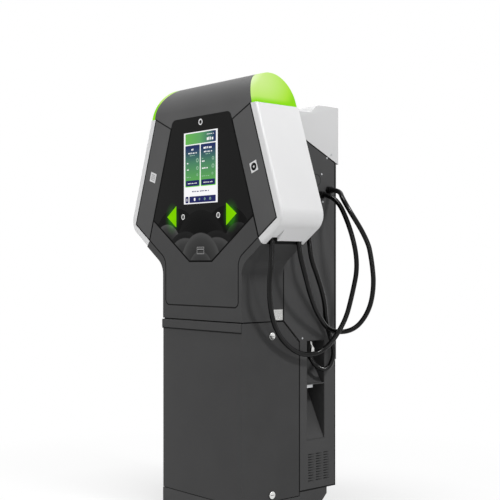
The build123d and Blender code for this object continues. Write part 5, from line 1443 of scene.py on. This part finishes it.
# %% Cable routes
rubber = coat(
    "cable_rubber", grey(0.002), 0.17, grain=0.08, grain_scale=60.0, shine=0.2, shade_grooves=False
)
CABLE_RADIUS = 10.5 * MM
ROUTES = {
    "front_cable": [
        (400, 44, 1236), (400, 44, 1090), (374, 49, 989), (330, 103, 859), (306, 179, 761),
        (294, 307, 688), (319, 422, 702), (364, 497, 824), (389, 517, 947), (429, 510, 1075),
        (438, 455, 1224), (352, 450, 1372), (265.5, 450, 1372),
    ],
    "rear_cable": [
        (400, 186, 1236), (400, 186, 1142), (386, 241, 1025), (356, 301, 938), (328, 368, 864),
        (300, 471, 781), (375, 541, 787), (448, 558, 873), (484, 549, 984), (488, 529, 1092),
        (487, 503, 1179), (414, 432, 1343), (332, 497, 1395), (265.5, 497, 1395),
    ],
    "pocket_cable": [
        (265.5, 330, 1330), (315, 330, 1330), (352, 280, 1262), (364, 286, 1153), (359, 302, 1092),
        (354, 342, 1023), (340, 384, 959), (318, 423, 900), (294, 452, 834), (287, 480, 777),
        (291, 514, 690), (297, 458, 610), (250, 406, 652), (248, 397, 697),
    ],
}


print("routes:", {name: len(points) for name, points in ROUTES.items()})

# %% [markdown]
# A curve object keeps its route and its thickness apart, so the bevel makes the round cable and
# the bare line can be measured. The points of the spline weigh equally, and it starts and ends
# on the first and the last of them.

# %% Cables and their lengths
CABLE_STEPS, MEASURE_STEPS = 12, 24


def smooth_line(name, points, steps):
    """A curve led by the points of a route."""
    curve = bpy.data.curves.new(name, "CURVE")
    curve.dimensions = "3D"
    spline = curve.splines.new("NURBS")
    spline.points.add(len(points) - 1)
    for point, place in zip(spline.points, points):
        point.co = (*at(*place), 1)
    spline.order_u = 3
    spline.use_endpoint_u = True
    spline.resolution_u = steps
    return curve


def line_length(points):
    """Length of the smooth line, measured on a copy without thickness."""
    probe = bpy.data.objects.new("probe", smooth_line("probe", points, MEASURE_STEPS))
    mesh = bpy.data.meshes.new_from_object(probe)
    places = [vertex.co for vertex in mesh.vertices]
    return sum((places[a] - places[b]).length for a, b in (edge.vertices for edge in mesh.edges))


def cable(name, points):
    """A round cable along a smooth line through its route."""
    curve = smooth_line(name + "_line", points, CABLE_STEPS)
    curve.bevel_depth = CABLE_RADIUS
    curve.bevel_resolution = 6
    curve.use_fill_caps = True
    curve.materials.append(rubber)
    piece = in_scene(name + "_hanging", curve)
    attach(piece, "cabinet")
    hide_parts(name)
    return piece


for name, points in ROUTES.items():
    piece = cable(name, points)
    length = line_length(points)
    print(name, "length", round(length, 3))

# %% [markdown]
# ## Studio
# The post stands in an even white studio. A lit white backdrop would flood dark paint with
# light from all sides, so the backdrop and the far floor are white only to the camera, to
# mirrors and to glass, and what lights the post is a weaker, even glow and four lamps.

# %% Backdrop
AMBIENT = 0.34


def seen_directly(tree):
    """1 for what the camera, a mirror or glass sees, 0 for what lights the object."""
    rays = tree.nodes.new("ShaderNodeLightPath").outputs
    direct = maths(tree, "MAXIMUM", rays["Is Camera Ray"], rays["Is Glossy Ray"])
    return maths(tree, "MAXIMUM", direct, rays["Is Transmission Ray"])


def either(tree, factor, first, second, out):
    """Sends a mix of two shaders to the output."""
    choose = tree.nodes.new("ShaderNodeMixShader")
    for socket, source in zip(choose.inputs, (factor, first, second)):
        plug(tree, source, socket)
    plug(tree, choose.outputs["Shader"], out.inputs["Surface"])


def white_light(tree, kind, strength):
    """White light from a background or a surface."""
    node = tree.nodes.new(kind)
    tune(node, Color=grey(1), Strength=strength)
    return node.outputs[0]


def studio_world():
    """Even studio light; what the camera, mirrors and glass see directly is plain white."""
    world = bpy.data.worlds.new("studio")
    world.use_nodes = True
    tree = world.node_tree
    tree.nodes.clear()
    out = tree.nodes.new("ShaderNodeOutputWorld")
    light, white = (
        white_light(tree, "ShaderNodeBackground", power) for power in (AMBIENT, 1.0)
    )
    either(tree, seen_directly(tree), light, white, out)
    bpy.context.scene.world = world


studio_world()
print("studio set, ambient light", AMBIENT)

# %% [markdown]
# The floor is white paint near the post, where it keeps the shadow, and fades into the white of
# the backdrop further out, so that no horizon shows.

# %% Floor
FLOOR_HALF = 12


def pale_floor():
    """White paint that keeps the post's shadow and fades into the white backdrop."""
    material, tree, shader = new_material("floor_paint")
    tune(shader, Base_Color=grey(0.8), Roughness=0.9)
    out = next(n for n in tree.nodes if n.type == "OUTPUT_MATERIAL")
    fade = ramp(
        tree, distance_from(tree, (0, 0, 0), (0.2, 0.2, 0.2)), (0.10, grey(0.62)),
        (0.24, grey(0.88)), (0.45, grey(1.0)),
    )
    share = maths(tree, "MULTIPLY", fade, seen_directly(tree))
    white = white_light(tree, "ShaderNodeEmission", 1.0)
    either(tree, share, shader.outputs["BSDF"], white, out)
    return material


floor_mesh = bpy.data.meshes.new("floor")
floor_mesh.from_pydata(
    [(x * FLOOR_HALF, y * FLOOR_HALF, 0) for x, y in ((-1, -1), (1, -1), (1, 1), (-1, 1))], [],
    [(0, 1, 2, 3)],
)
floor_mesh.materials.append(pale_floor())
in_scene("floor", floor_mesh)
print("floor laid,", 2 * FLOOR_HALF, "m wide")

# %% [markdown]
# The lamps are large and soft, so that no shadow has a hard edge: one high on the side with the
# cables draws the line of the wing, one in front fills the dark face, one above lifts the crest,
# and a narrow upright strip gives the cables their sheen. The camera stands level, a little over
# a metre high, so that upright edges stay upright, and its long lens looks from far away, so
# that the sides of the cabinet stay nearly parallel.

# %% Lamps and camera
CAMERA_LENS, CAMERA_SHIFT, SENSOR = 72.504, 0.028, 36.0
CAMERA_PLACE = (3330.6, -2638.2, 1075)
AZIMUTH = math.radians(48.8)


def lamp(name, place, target, size, power, size_y=None):
    """An area lamp that faces a point."""
    light = bpy.data.lights.new(name, "AREA")
    light.size = size
    if size_y:
        light.shape = "RECTANGLE"
        light.size_y = size_y
    light.energy = power
    holder = in_scene(name, light)
    holder.location = place
    direction = Vector(target) - Vector(place)
    holder.rotation_euler = direction.to_track_quat("-Z", "Y").to_euler()


lamp("side_lamp", (5.6, 0.25, 6.1), (0, 0, 1.1), size=0.95, power=345)
lamp("front_lamp", (-1.2, -4.5, 2.6), (0, 0, 1.1), size=2.5, power=104)
lamp("top_lamp", (0.0, -0.6, 4.2), (0, -0.15, 1.8), size=2.5, power=80, size_y=0.6)
lamp("strip_lamp", (4.0, -0.5, 0.8), (0, 0, 0.8), size=0.15, power=14, size_y=1.4)

camera_data = bpy.data.cameras.new("camera")
camera_data.lens = CAMERA_LENS
camera_data.sensor_width = SENSOR
camera_data.shift_y = CAMERA_SHIFT
camera = in_scene("camera", camera_data)
camera.location = at(*CAMERA_PLACE)
camera.rotation_euler = (math.radians(90), 0, AZIMUTH)
bpy.context.scene.camera = camera
bpy.context.scene.view_settings.view_transform = "Standard"
print("camera at", [round(value, 3) for value in camera.location])
